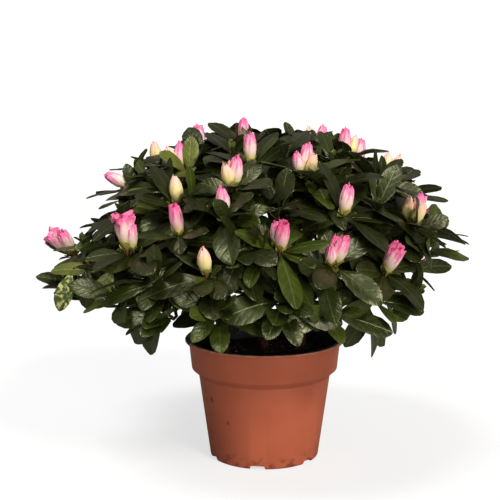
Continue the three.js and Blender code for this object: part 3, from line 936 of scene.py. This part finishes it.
def planBoughs():
    # each mass is carried by the nearest stem that isn't yet crowded, the lowest from its lowest fork
    for row in stemRows:
        row["masses"] = []
    for mass in masses:

        def farness(row):
            return (stemCorners(row)[2] - mass["entry"]).length + boughPlan["crowding"] * len(row["masses"])

        min(stemRows, key=farness)["masses"].append(mass)
    for row in stemRows:
        row["masses"].sort(key=lambda mass: mass["entry"].z)


def boughLimb(row, mass, rank):
    below = boughPlan["firstBelowTip"] + (len(row["masses"]) - 1 - rank) * boughPlan["apart"]
    share = (row["height"] - below) / row["height"]
    foot, knee, tip = stemCorners(row)
    root = foot * (1 - share) ** 2 + knee * 2 * share * (1 - share) + tip * share**2
    level = mass["entry"] - root
    level.z = 0
    start = (level.normalized() + zAxis * boughPlan["rise"]).normalized()
    end = (mass["centre"] - mass["entry"]).normalized()
    reach = (mass["entry"] - root).length * boughPlan["bend"]
    corners = [root, root + start * reach, mass["entry"] - end * reach, mass["entry"]]
    return tapered(curvePoints(corners, boughPlan["points"]), boughPlan["radii"])


def makeBark(name, dark, light, green):
    material, tree = newMaterial(name, {"Specular IOR Level": 0.25})
    stretched = addNode(tree, "ShaderNodeMapping", {"Vector": addPlace(tree), "Scale": (1.0, 1.0, 0.35)}).outputs[0]
    flakes = addNode(tree, "ShaderNodeTexVoronoi", {"Vector": stretched, "Scale": 520.0}, feature="DISTANCE_TO_EDGE")
    cracks = remap(tree, flakes.outputs["Distance"], 0.0, 0.18)
    look = useGroup(tree, grain, Scale=150.0, Detail=5.0)
    shade = blendColours(tree, remap(tree, look["Value"], 0.35, 0.65), dark, light)
    shade = overlay(tree, shade, (remap(tree, look["Fine"], 0.5, 0.75), 0.5, green))
    shade = blendColours(tree, cracks, (24, 14, 10), shade)
    roughness = remap(tree, look["Fine"], 0.3, 0.7, 0.7, 0.9)
    surface(tree, shade, roughness, calculate(tree, "ADD", cracks, look["Fine"]), strength=0.6, distance=0.0004)
    return material


def makeStems():
    planBoughs()
    bark = makeBark("azaleaBark", (58, 30, 21), (92, 52, 37), (64, 52, 34))
    ridges = {"texture": makeClouds("barkRidges", stemPlan["ridgeSize"], 3), "strength": stemPlan["ridgeHeight"]}
    for row in stemRows:
        places = curvePoints(stemCorners(row), stemPlan["points"])
        last = len(places) - 1
        limbs = [[(place, stemRadius(row, i / last)) for i, place in enumerate(places)]]
        limbs += [boughLimb(row, mass, rank) for rank, mass in enumerate(row["masses"])]
        piece = tubes("wood_" + row["name"], limbs, 3)
        finishWith(piece, "REMESH", mode="VOXEL", voxel_size=stemPlan["voxel"])
        finishWith(piece, "DISPLACE", **ridges, texture_coords="LOCAL", mid_level=stemPlan["ridgeMiddle"])
        finishWith(piece, "SMOOTH", iterations=1)
        dress(piece, [bark])
        settle(piece, 60, "bark", "stem_" + row["name"], *("bough_" + mass["name"] for mass in row["masses"]))


def twigLimbs(mass):
    # the stalk from the bough's tip to the fork, a twig to each shoot, its spur, and short side twigs on it
    ahead = (mass["centre"] - mass["entry"]).normalized()
    stalk = [mass["entry"], mass["entry"].lerp(mass["fork"], 0.5), mass["fork"] + ahead * millimetre]
    limbs = [[(place, twigPlan["radii"][0]) for place in stalk]]
    thick, middling, thin = twigPlan["sideRadii"]
    for shoot in mass["shoots"]:
        draw = shoot["finer"]
        tip = shoot["place"] + shoot["axis"] * millimetre
        bend = tip - shoot["axis"] * (mass["fork"] - tip).length * twigPlan["bend"]
        places = curvePoints([mass["fork"], bend, tip], twigPlan["points"])
        last = len(places) - 1
        for i in range(1, last):
            places[i] += Vector([draw(-1, 1) * twigPlan["wander"] for _ in range(3)])
        limbs.append(tapered(places, twigPlan["radii"]))
        spur = [shoot["place"] + Vector(step) for step in hangingRows.get(shoot["row"], {}).get("spur", [])]
        if spur:
            limbs.append([(places[-2], thick)] + [(place, middling) for place in spur])
        shoot["sideShoots"] = []
        for share in twigPlan["sideShares"][: shoot["sides"]]:
            root = places[round(last * share)]
            side = sideways(shoot["axis"], draw(0, 360))
            out = (side + shoot["axis"] * twigPlan["sideForward"] + zAxis * twigPlan["sideUp"]).normalized()
            end = root + out * twigPlan["sideLength"]
            knee = root.lerp(end, 0.5) + side * twigPlan["wander"]
            limbs.append([(root, thick), (knee, middling), (end, thin)])
            shoot["sideShoots"].append({"place": end, "axis": out})
    return limbs


def makeTwigs():
    twigBark = makeBark("twigBark", (80, 52, 32), (112, 84, 50), (82, 92, 44))
    for mass in masses:
        piece = tubes("twigs_" + mass["name"], twigLimbs(mass), 1)
        dress(piece, [twigBark])
        settle(piece, 50, "bark", "foliage_" + mass["name"])


makeStems()
makeTwigs()
print("stems, boughs and twigs grown")


# A leaf: elliptic, on a short stalk, with a sunken rib, thin at its edge. Root at the origin, tip along +Y.
# The widths are shares of its width, at the places along it.
leafShape = {
    "length": 0.044,
    "width": 0.45,
    "columns": 4,
    "along": (0.0, 0.08, 0.22, 0.40, 0.60, 0.78, 0.91, 0.98, 1.0),
    "widths": (0.06, 0.10, 0.46, 0.83, 1.0, 0.91, 0.60, 0.24, 0.05),
    "thickness": 0.0005,
    "ribDepth": 0.0007,
    "marginDrop": 0.0008,
}


def outlineHalf(form, y):
    half = float(np.interp(y / form["length"], form["along"], form["widths"]))
    return half * form["length"] * form["width"] / 2


def makeBladeShape(form):
    # a grid, narrowed row by row to the outline, then doubled underneath and closed at its edge
    length, count = form["length"], len(form["along"])
    half = length * form["width"] / 2
    spacing, clear = 1 / (count - 1), 2  # a row that is done is moved clear of the others

    def isMargin(place):
        nearEdge = 0.9
        return abs(place.x) > outlineHalf(form, place.y) * nearEdge

    bpy.ops.mesh.primitive_grid_add(x_subdivisions=form["columns"], y_subdivisions=count - 1, size=1)
    blade = bpy.context.object
    dress(blade, [bpy.data.materials.new("draftTop"), bpy.data.materials.new("draftUnder")])
    startEdit(blade)
    shift(0, 0.5, 0)
    stretch(2 * half, 1, 1)
    for i in reversed(range(count)):
        choose(blade, "verts", lambda place: abs(place.y - i * spacing) < spacing / 4)
        stretch(form["widths"][i], 1, 1)
        shift(0, clear + form["along"][i] - i * spacing, 0)
    chooseAll()
    shift(0, -clear, 0)
    stretch(1, length, 1)
    choose(blade, "verts", lambda place: abs(place.x) < half * 0.01)
    shift(0, 0, -form["ribDepth"])
    choose(blade, "verts", isMargin)
    shift(0, 0, -form["marginDrop"])
    chooseAll()
    bpy.ops.mesh.duplicate()
    bpy.ops.mesh.flip_normals()
    paintChosen(blade, 1)
    editMesh = bmesh.from_edit_mesh(blade.data)
    for vertex in editMesh.verts:
        between = 0.001 * length <= vertex.co.y <= 0.999 * length
        if vertex.select and between and not isMargin(vertex.co):
            vertex.co.z -= form["thickness"]
    bmesh.update_edit_mesh(blade.data)
    chooseAll()
    bpy.ops.mesh.remove_doubles(threshold=1e-6)
    endEdit()
    return readShape(blade, 2 * half, length)


# The tints of the leaves, dealt out by shoot: how often each comes, and its colours
leafTints = [
    {"name": "deep", "share": 0.60, "blade": (22, 26, 4), "rib": (60, 66, 32)},
    {"name": "middle", "share": 0.27, "blade": (27, 35, 6), "rib": (70, 80, 36)},
    {"name": "fresh", "share": 0.11, "blade": (44, 54, 12), "rib": (90, 102, 48)},
    {"name": "olive", "share": 0.02, "blade": (74, 80, 28), "rib": (112, 114, 54)},
    {"name": "patched", "share": 0.0, "blade": (44, 58, 26), "rib": (96, 108, 62), "patches": (176, 172, 112)},
]
middleTint, freshTint, oliveTint, patchedTint = 1, 2, 3, 4
leafGloss = {"Specular IOR Level": 0.55, "Specular Tint": (0.95, 0.96, 0.64, 1.0)}
# shares: of the leaves of a shoot with a tint of their own, and of one tint against the other
tintShares = {"changed": 0.25, "changedOlive": 0.6, "lowMiddle": 0.6, "youngFresh": 0.6}


def makeLeafMaterial(tint):
    material, tree = newMaterial("leaf_" + tint["name"], leafGloss)
    lines = useGroup(tree, veins, Count=6.0, Slant=0.26)
    look = useGroup(tree, grain, Scale=70.0, Detail=4.0)
    lighter = (*(min(1, level * 1.6) for level in paint(tint["blade"])[:3]), 1.0)
    shade = blendColours(tree, remap(tree, look["Value"], 0.35, 0.7), tint["blade"], lighter)
    if "patches" in tint:
        patches = remap(tree, useGroup(tree, grain, Scale=360.0, Detail=5.0)["Value"], 0.46, 0.62)
        shade = blendColours(tree, patches, shade, tint["patches"])
    # paler at the edge, along the side veins and along the rib, which are sunken
    for mask, strength in ((remap(tree, lines["Across"], 0.9, 1.0), 0.5), (lines["Vein"], 0.10), (lines["Rib"], 0.40)):
        shade = overlay(tree, shade, (mask, strength, tint["rib"]))
    wrinkles = useGroup(tree, grain, Scale=200.0, Detail=1.0)["Value"]
    sunken = calculate(tree, "MULTIPLY_ADD", lines["Vein"], -0.25, wrinkles)
    sunken = calculate(tree, "MULTIPLY_ADD", lines["Rib"], -0.5, sunken)
    surface(tree, shade, remap(tree, look["Fine"], 0.3, 0.7, 0.30, 0.42), sunken, strength=0.6, distance=0.0006)
    return material


def makeUndersideMaterial():
    material, tree = newMaterial("leaf_underside", {"Specular IOR Level": 0.25})
    lines = useGroup(tree, veins, Count=7.0, Slant=0.22)
    look = useGroup(tree, grain, Scale=90.0, Detail=4.0)
    pale = blendColours(tree, remap(tree, look["Value"], 0.35, 0.7), (58, 68, 32), (74, 84, 42))
    ribbed = calculate(tree, "MAXIMUM", lines["Rib"], times(tree, lines["Vein"], 0.35))
    shade = blendColours(tree, ribbed, pale, (112, 124, 78))
    surface(tree, shade, remap(tree, look["Fine"], 0.3, 0.7, 0.55, 0.7), ribbed, strength=0.4, distance=0.0005)
    return material


# How a leaf is bent out of the flat. A pair of numbers is what is drawn between, here and below.
leafBend = {
    "arch": (0.02, 0.08),
    "sag": None,
    "fold": (-0.10, 0.22),
    "wave": (-0.10, 0.10),
    "phase": (0, 6),
    "twist": (-0.35, 0.35),
    "widen": (0.9, 1.12),
    "waves": 9,
}
# How the leaves stand round a shoot: turns and tilts in degrees. The outer five follow the solids' rule,
# and the others are finer. The lower and inner ones stand between the outer ones by a turn of their own.
rosette = {
    "roll": 14,
    "sharing": 6,  # crossings that two leaves of one shoot may have near their roots
    "nearby": 1.2,  # in leaf lengths, how near another leaf is tested for crossings
    "between": 36,
    "outer": {"count": 5, "length": (0.036, 0.049), "tilt": (98, 62), "jitter": 5, "sag": (0.0, 0.10)},
    "lower": {"count": 2, "length": (0.037, 0.046), "tilt": (84, 108), "jitter": 20, "sag": (0.04, 0.22)},
    "lowerDrop": (0.007, 0.017),
    "inner": {"count": 2, "length": (0.029, 0.038), "tilt": (44, 60), "jitter": 12, "apart": 216, "sag": (-0.05, 0.06)},
    "innerTiltInBud": (66, 80),
    "side": {"count": 3, "length": (0.030, 0.042), "tilt": (48, 86), "jitter": 25, "sag": (0.0, 0.16)},
    "hung": {"jitter": 6, "sag": (0.0, 0.06)},
    "hungApart": 0.004,
    "young": 3,
    "youngLength": (0.009, 0.015),
    "youngTilt": (12, 26),
    "youngTiltInBud": (48, 74),
    "youngSag": (-0.1, 0.0),
    "youngFold": (0.3, 0.6),
    "oliveShoots": (10, 22, 32),
    "greenBelow": 0.166,
}
# the underside of the crown: how low a leaf may hang, rising outwards from the pot, in front of it and
# at its two sides, where an edge and a rise are given; a leaf turns up by steps, but not past a tilt
underside = {
    "level": 0.090,
    "from": 0.088,
    "rise": 0.55,
    "front": {"nearer": -0.05, "within": 0.075, "rise": 0.013},
    "sideLevel": 0.106,
    "sides": [(-0.088, -0.8), (0.110, 1.0)],
    "steps": 14,
    "step": 5,
    "leastTilt": 25,
}
# the ways to lay a leaf, each tried in turn: raised and turned by degrees, and its size
layTries = [(0, 0, 1), (8, 0, 1), (-8, 0, 1), (0, 8, 1), (0, -8, 1), (14, 6, 1), (-14, -6, 0.92), (16, -8, 0.92)]
layTries += [(22, 0, 0.88), (-18, 0, 0.85), (0, 15, 0.85), (0, -15, 0.85), (28, 10, 0.8), (28, -10, 0.8)]


def facing(across, along, upper):
    return Matrix((across, along, upper)).transposed().to_4x4()


def leafMatrix(place, axis, turn, tilt, roll):
    side = sideways(axis, turn)
    tilt = math.radians(tilt)
    along = axis * math.cos(tilt) + side * math.sin(tilt)
    across = Matrix.Rotation(math.radians(roll), 3, along) @ axis.cross(side)
    return Matrix.Translation(place + side * millimetre) @ facing(-across, along, along.cross(across))


def bentBlade(shape, length, bend):
    # a copy of the flat blade at this length, arched, folded, waved and twisted along itself
    points = shape["points"] * (length / leafShape["length"])
    across, along = points[:, 0], points[:, 1] / length
    twist = bend["twist"] * along
    height = points[:, 2] + np.abs(across) * bend["fold"] * np.minimum(1, 3 * along)
    height += across * bend["wave"] * np.sin(along * bend["waves"] + bend["phase"])
    wide = across * bend["widen"] * np.cos(twist) - height * np.sin(twist)
    tall = across * np.sin(twist) + height * np.cos(twist)
    tall += length * (bend["arch"] * 4 * along * (1 - along) - bend["sag"] * along**2)
    return np.stack([wide, points[:, 1] * (1 - bend["sag"] * bend["sag"] * along), tall], axis=1)


def drawFrom(draw, given):
    # a pair is drawn between, and a number stays
    return draw(*given) if isinstance(given, tuple) else given


def drawBend(draw, sag):
    # in the order of leafBend, where the sag of each kind of leaf takes its place
    return {name: drawFrom(draw, given) for name, given in {**leafBend, "sag": sag}.items()}


def solidOf(points, shape):
    # what a leaf or a bud needs for its crossings to be counted
    tree = BVHTree.FromPolygons(points.tolist(), shape["faces"])
    return {"points": points, "middle": points.mean(axis=0), "tree": tree}


def crossings(leaf, other, reach):
    near = np.abs(other["middle"] - leaf["middle"]).max() < reach
    return len(leaf["tree"].overlap(other["tree"])) if near else 0


def layLeaf(plan, shape, laid, hulls):
    # tries a few ways of laying a leaf and keeps the first that goes through no other leaf and no bud
    best = None
    for raised, turned, size in layTries:
        matrix = leafMatrix(plan["place"], plan["axis"], plan["turn"] + turned, plan["tilt"] - raised, plan["roll"])
        leaf = solidOf(moved(bentBlade(shape, plan["length"] * size, plan["bend"]), matrix), shape)
        leaf["crossed"] = sum(crossings(leaf, hull, leafShape["length"]) for hull in hulls)
        for other in laid:
            shared = rosette["sharing"] if other["root"] == plan["root"] else 0
            leaf["crossed"] += max(0, crossings(leaf, other, leafShape["length"] * rosette["nearby"]) - shared)
        if best is None or leaf["crossed"] < best["crossed"]:
            best = leaf
        if not leaf["crossed"]:
            break
    best["root"] = plan["root"]
    return best


def drawTint(draw, low):
    # the leaves lowest in the crown are greener
    chance = draw(0, 1)
    if low:
        return middleTint if chance < tintShares["lowMiddle"] else freshTint
    for i, tint in enumerate(leafTints):
        chance -= tint["share"]
        if chance < 0:
            return i
    return 0


def leafTip(plan):
    tilt = math.radians(plan["tilt"])
    along = plan["axis"] * math.cos(tilt) + sideways(plan["axis"], plan["turn"]) * math.sin(tilt)
    return plan["place"] + (along - zAxis * max(0, plan["bend"]["sag"])) * plan["length"]


def turnUp(plan):
    # a leaf that would hang below the crown's underside turns up towards the light
    front = underside["front"]
    for _ in range(underside["steps"]):
        tip = leafTip(plan)
        level = underside["level"] + max(0, math.hypot(tip.x, tip.y) - underside["from"]) * underside["rise"]
        if tip.y < front["nearer"] and abs(tip.x) < front["within"]:
            level += front["rise"]
        for edge, rise in underside["sides"]:
            level = max(level, underside["sideLevel"] + (tip.x - edge) * rise)
        if tip.z > level or plan["tilt"] < underside["leastTilt"]:
            break
        plan["tilt"] -= underside["step"]


def keepInCrown(plan, reach):
    # the leaves at the crown's edge are shorter, so that none stands far out of it
    for _ in range(outline["steps"]):
        if (fromDome @ leafTip(plan)).length < reach:
            break
        plan["length"] *= outline["shorten"]


def planLeaves(shoot):
    draw, finer = shoot["draw"], shoot["finer"]
    few = 1 if shoot["open"] else 0
    shoot["low"] = shoot["place"].z < rosette["greenBelow"]
    shoot["tint"] = oliveTint if shoot["row"] in rosette["oliveShoots"] else drawTint(finer, shoot["low"])
    shoot["budded"] = bool(shoot["bloom"] and shoot["bloom"]["buds"])
    first = draw(0, 360)
    plans = []

    def addPlan(pull, turn, rule, **changes):
        # the order of the draws is that of the solids, and the bend always comes from the finer ones
        rule = {**rule, **changes}
        turn += pull(-rule["jitter"], rule["jitter"])
        drawn = {"turn": turn, "tilt": drawFrom(pull, rule["tilt"]), "length": pull(*rule["length"])}
        drawn["roll"] = pull(-rosette["roll"], rosette["roll"])
        plan = {"place": shoot["place"], "axis": shoot["axis"], "root": shoot["number"], **rule, **drawn}
        plans.append({**plan, "bend": drawBend(finer, rule["sag"])})

    outer, lower, inner, side = (rosette[name] for name in ("outer", "lower", "inner", "side"))
    for k in range(outer["count"]):
        drop = ((k * 3) % outer["count"]) / (outer["count"] - 1)  # no leaf is just above the one beside it
        tilt = outer["tilt"][0] + (outer["tilt"][1] - outer["tilt"][0]) * drop
        addPlan(draw, first + k * 360 / outer["count"], outer, tilt=tilt)
    for k in range(lower["count"] - 2 * few):
        place = shoot["place"] - shoot["axis"] * finer(*rosette["lowerDrop"])
        addPlan(finer, first + rosette["between"] + k * 360 / lower["count"], lower, place=place)
    for k in range(inner["count"] - few):
        tilt = rosette["innerTiltInBud"] if shoot["budded"] else inner["tilt"]
        addPlan(finer, first + rosette["between"] + k * inner["apart"], inner, tilt=tilt)
    for sideShoot in shoot["sideShoots"]:
        for k in range(side["count"]):
            addPlan(finer, first + k * 360 / side["count"], side, root=-1 - shoot["number"], **sideShoot)
    for plan in plans:
        turnUp(plan)
        keepInCrown(plan, shoot["reach"])
    standing = len(plans)
    hanging = hangingRows.get(shoot["row"], {"turns": ()})
    spur = hanging.get("spur")
    axis = Vector(hanging["axis"]).normalized() if spur else shoot["axis"]
    lowest = min((90, 270), key=lambda turn: sideways(axis, turn).z)
    for k, turn in enumerate(hanging["turns"]):
        step = Vector(spur[k]) if spur else shoot["axis"] * -rosette["hungApart"] * (k + 1)
        rule = {**rosette["hung"], "tilt": hanging["tilt"], "length": hanging["length"], "axis": axis}
        patched = k == hanging.get("patched")
        addPlan(finer, lowest + turn, rule, place=shoot["place"] + step, patched=patched)
    gone = leftOut.get(shoot["number"], ())
    return [plan for k, plan in enumerate(plans[standing:] + plans[:standing]) if k not in gone]


def youngLeaves(shoot, shape, under):
    # a small spire of young leaves at the tip of a shoot, or a collar of them below its buds
    draw = shoot["finer"]
    spread = rosette["youngTiltInBud" if shoot["budded"] else "youngTilt"]
    first = draw(0, 360)
    copies = []
    for k in range(rosette["young"]):
        length = draw(*rosette["youngLength"])
        turn = first + k * 360 / rosette["young"]
        matrix = leafMatrix(shoot["place"], shoot["axis"], turn, draw(*spread), 0)
        bend = {**drawBend(draw, rosette["youngSag"]), "fold": draw(*rosette["youngFold"])}
        tint = freshTint if draw(0, 1) < tintShares["youngFresh"] else oliveTint
        points = moved(bentBlade(shape, length, bend), matrix)
        copies.append({"shape": shape, "points": points, "slots": {0: tint, 1: under}})
    return copies


# A bud: petals wrapped round each other, cream at the foot and pink at the rim, in a few green scales
petalShape = {
    "length": 0.021,
    "width": 0.8,
    "columns": 6,
    "along": (0.0, 0.22, 0.46, 0.68, 0.86, 0.96, 1.0),
    "widths": (0.36, 0.66, 0.90, 1.0, 1.0, 0.92, 0.80),
    "thickness": 0.0004,
    "ribDepth": 0.0,
    "marginDrop": 0.0,
}
# where there are two numbers, the first is for the first bud of a shoot and the second for those beside it;
# leaning has the buds of the listed shoots that don't stand as upright as the others
budPlan = {
    "length": 0.0225,
    "shortest": 0.75,
    "radius": 0.0054,
    "swellsFrom": 0.3,
    "swell": 0.75,
    "stretch": 0.32,
    "opens": (1, 0.45),
    "lean": (8, 22),
    "beside": (0.0012, 0.0034),
    "raised": 0.0022,
    "upright": 0.55,
    "leaning": {0: -0.1, 1: 3.5, 9: -0.8},
    "creamBelow": 0.15,
    "creamShare": 0.75,
    "roseShare": 0.2,
    "hull": {"girth": 1.3, "openGirth": 0.8, "half": 0.5, "middle": 0.6},
}
# its rings of petals from the inside out, and last its scales, each with what differs from the rule; the
# next petal of a ring is lower by lessHeight, and the frill grows by openFrill as the bud opens
petalRule = {"from": 0, "wrap": 1.0, "spiral": 0.5, "base": 0.0, "openFrill": 0.6, "lessHeight": 0.0, "jitter": 0.12}
petalRings = {
    "inner": {
        "count": 4,
        "from": 0.5,
        "size": 0.60,
        "overlap": 0.12,
        "frill": 0.2,
        "opens": 0.8,
        "height": 1.04,
        "lessHeight": 0.05,
    },
    "outer": {"count": 5, "size": 0.92, "overlap": 0.09, "frill": 0.12, "opens": (0.85, 1.15), "height": (0.92, 1.0)},
    "scale": {
        "count": 5,
        "size": 1.04,
        "overlap": 0.04,
        "wrap": 0.5,
        "spiral": 0.2,
        "base": -0.12,
        "frill": 0.0,
        "openFrill": 0.0,
        "opens": 1,
        "height": (0.28, 0.46),
    },
}
petalBend = {"frillFrom": 0.62, "waves": (5.5, 9), "frillHeight": 0.4, "rounding": 0.10, "droop": 0.08}
# share of the way up, and the radius there of a bud that is shut and of one that is open
petalProfile = {
    "share": (0.0, 0.2, 0.4, 0.6, 0.8, 0.92, 1.0),
    "shut": (0.30, 0.80, 1.00, 0.98, 0.70, 0.38, 0.16),
    "wide": (0.28, 0.62, 0.82, 0.94, 1.02, 1.10, 1.20),
}
petalTints = [
    {"name": "cream", "foot": (176, 178, 88), "middle": (246, 230, 160), "rim": (248, 196, 182)},
    {"name": "pink", "foot": (216, 210, 116), "middle": (252, 222, 214), "rim": (242, 118, 174)},
    {"name": "rose", "foot": (228, 212, 136), "middle": (250, 194, 206), "rim": (238, 98, 158)},
]
petalGloss = {
    "Roughness": 0.55,
    "Specular IOR Level": 0.3,
    "Subsurface Weight": 0.12,
    "Subsurface Radius": (0.004, 0.002, 0.002),
}


def makePetalMaterial(tint):
    material, tree = newMaterial("petal_" + tint["name"], petalGloss)
    lines = useGroup(tree, veins, Count=1.0, Slant=0.0)
    look = useGroup(tree, grain, Scale=260.0, Detail=3.0)
    nudge = times(tree, calculate(tree, "SUBTRACT", look["Value"], 0.5), 0.35)
    along = calculate(tree, "ADD", lines["Along"], nudge)
    shade = blendColours(tree, remap(tree, along, 0.12, 0.5), tint["foot"], tint["middle"])
    # the rim's colour comes down the edges and in rays
    edge = calculate(tree, "MULTIPLY_ADD", calculate(tree, "POWER", lines["Across"], 3.0), 0.26, along)
    ray = calculate(tree, "MULTIPLY_ADD", look["Value"], 5.0, times(tree, lines["Across"], 13.0))
    ray = calculate(tree, "MULTIPLY_ADD", calculate(tree, "COSINE", ray), 0.5, 0.5)
    rim = remap(tree, calculate(tree, "MULTIPLY_ADD", ray, 0.16, edge), 0.60, 1.08)
    surface(tree, blendColours(tree, rim, shade, tint["rim"]), relief=look["Fine"], strength=0.25, distance=0.0003)
    return material


def makeScaleMaterial():
    material, tree = newMaterial("bud_scale", {"Roughness": 0.5, "Specular IOR Level": 0.3})
    lines = useGroup(tree, veins, Count=1.0, Slant=0.0)
    look = useGroup(tree, grain, Scale=300.0, Detail=3.0)
    along = calculate(tree, "ADD", lines["Along"], times(tree, look["Value"], 0.3))
    surface(tree, blendColours(tree, remap(tree, along, 0.2, 0.9), (134, 84, 48), (160, 150, 80)))
    return material


def wrapPetal(shape, length, radius, form):
    # lays the flat petal round the bud's axis, one edge inside its neighbour's and the other outside
    flat = shape["points"] / petalShape["length"]
    across, along = flat[:, 0] / (petalShape["width"] / 2), flat[:, 1]
    opened = form["open"]
    up = form["base"] + along * form["height"]
    shut, wide = (np.interp(up, petalProfile["share"], petalProfile[name]) for name in ("shut", "wide"))
    profile = shut * (1 - opened) + wide * opened
    frill = np.maximum(0, along - petalBend["frillFrom"]) * form["frill"]
    waves = [np.sin(across * count + form["phase"] * (i + 1)) / (i + 1) for i, count in enumerate(petalBend["waves"])]
    wave = waves[0] + waves[1]
    out = radius * (profile * form["size"] + form["overlap"] * across + frill * wave)
    out += flat[:, 2] * petalShape["length"]
    turn = form["turn"] + across * form["wrap"] + form["spiral"] * along
    rounded = petalBend["rounding"] * across**2 * along**4
    height = length * (up - rounded - petalBend["droop"] * opened * along**2)
    height += radius * frill * petalBend["frillHeight"] * wave * (1 - across**2)
    return np.stack([out * np.cos(turn), out * np.sin(turn), height], axis=1)


def budCopies(shape, plan):
    opened, draw, axis = plan["open"], plan["draw"], plan["axis"]
    side = sideways(axis, draw(0, 360))
    matrix = Matrix.Translation(plan["root"]) @ facing(side, axis.cross(side), axis)
    copies = []
    for name, ring in petalRings.items():
        ring = {**petalRule, **ring}
        slot = len(petalTints) if name == "scale" else plan["tint"]
        for k in range(ring["count"]):
            form = {**ring, "open": opened * drawFrom(draw, ring["opens"])}
            form["height"] = drawFrom(draw, ring["height"]) - ring["lessHeight"] * k
            form["frill"] += ring["openFrill"] * opened
            form["phase"] = draw(0, 6)
            form["turn"] = 2 * math.pi * (k + ring["from"]) / ring["count"] + draw(-ring["jitter"], ring["jitter"])
            points = moved(wrapPetal(shape, plan["length"], plan["radius"], form), matrix)
            copies.append({"shape": shape, "points": points, "slots": {0: slot, 1: slot}})
    return copies


def planBuds(shoot):
    bloom, draw, finer = shoot["bloom"], shoot["draw"], shoot["finer"]
    if not bloom:
        return []
    plans = []
    first = draw(0, 360)
    upright = budPlan["leaning"].get(shoot["row"], budPlan["upright"])
    for k in range(bloom["buds"]):
        lead = 0 if k == 0 else 1
        length = budPlan["length"] * (draw(budPlan["shortest"], 1) if lead else 1)
        opened = bloom["open"] * budPlan["opens"][lead]
        lean = math.radians(budPlan["lean"][lead] if bloom["buds"] > 1 else 0)
        side = sideways(shoot["axis"], first + k * 360 / bloom["buds"])
        axis = (shoot["axis"] * math.cos(lean) + side * math.sin(lean) + zAxis * upright).normalized()
        radius = budPlan["radius"] * length / budPlan["length"]
        cream = opened < budPlan["creamBelow"] and finer(0, 1) < budPlan["creamShare"]
        plan = {
            "root": shoot["place"] + side * budPlan["beside"][lead] + shoot["axis"] * budPlan["raised"],
            "axis": axis,
            "length": length * (1 + budPlan["stretch"] * opened),
            "radius": radius * (1 + budPlan["swell"] * max(0, opened - budPlan["swellsFrom"])),
            "open": opened,
            "tint": 0 if cream else (2 if finer(0, 1) < budPlan["roseShare"] else 1),
            "draw": finer,
        }
        plans.append(plan)
    return plans


def budHull(plan, ball):
    # a rough egg round a bud, which the leaves keep clear of
    hull, side = budPlan["hull"], sideways(plan["axis"], 0)
    turned = facing(side, plan["axis"].cross(side), plan["axis"])
    girth = plan["radius"] * (hull["girth"] + hull["openGirth"] * plan["open"])
    size = Matrix.Diagonal((girth, girth, plan["length"] * hull["half"], 1))
    middle = plan["root"] + plan["axis"] * plan["length"] * hull["middle"]
    return solidOf(moved(ball["points"], Matrix.Translation(middle) @ turned @ size), ball)


def makeBall():
    bpy.ops.mesh.primitive_ico_sphere_add(subdivisions=2, radius=1)
    return readShape(bpy.context.object)


def leafCopy(plan, shoot, shape, under, leaf):
    changed = shoot["finer"](0, 1) < tintShares["changedOlive" if shoot["tint"] == oliveTint else "changed"]
    tint = drawTint(shoot["finer"], shoot["low"]) if changed else shoot["tint"]
    if plan.get("patched"):
        tint = patchedTint
    return {"shape": shape, "points": leaf["points"], "slots": {0: tint, 1: under}}


def makeLeaves():
    shape, ball = makeBladeShape(leafShape), makeBall()
    materials = [makeLeafMaterial(tint) for tint in leafTints] + [makeUndersideMaterial()]
    under = len(leafTints)
    for shoot in shoots:
        shoot["leaves"] = planLeaves(shoot)
        shoot["buds"] = planBuds(shoot)
    hulls = [budHull(plan, ball) for shoot in shoots for plan in shoot["buds"]]
    laid, total = [], 0
    for mass in masses:
        copies = []
        for shoot in mass["shoots"]:
            for plan in shoot["leaves"]:
                laid.append(layLeaf(plan, shape, laid, hulls))
                copies.append(leafCopy(plan, shoot, shape, under, laid[-1]))
            copies += youngLeaves(shoot, shape, under)
        total += len(copies)
        settle(joinCopies("leaves_" + mass["name"], copies, materials), 50, "foliage", "foliage_" + mass["name"])
    crossed = sum(1 for leaf in laid if leaf["crossed"])
    print("leaves laid:", total, "of which", crossed, "still cross another")


def makeBuds():
    shape = makeBladeShape(petalShape)
    materials = [makePetalMaterial(tint) for tint in petalTints] + [makeScaleMaterial()]
    total = 0
    for mass in masses:
        plans = [plan for shoot in mass["shoots"] for plan in shoot["buds"]]
        copies = [copy for plan in plans for copy in budCopies(shape, plan)]
        total += len(plans)
        if copies:
            settle(joinCopies("buds_" + mass["name"], copies, materials), 60, "foliage", "foliage_" + mass["name"])
    print("buds and flowers made:", total)


makeLeaves()
makeBuds()
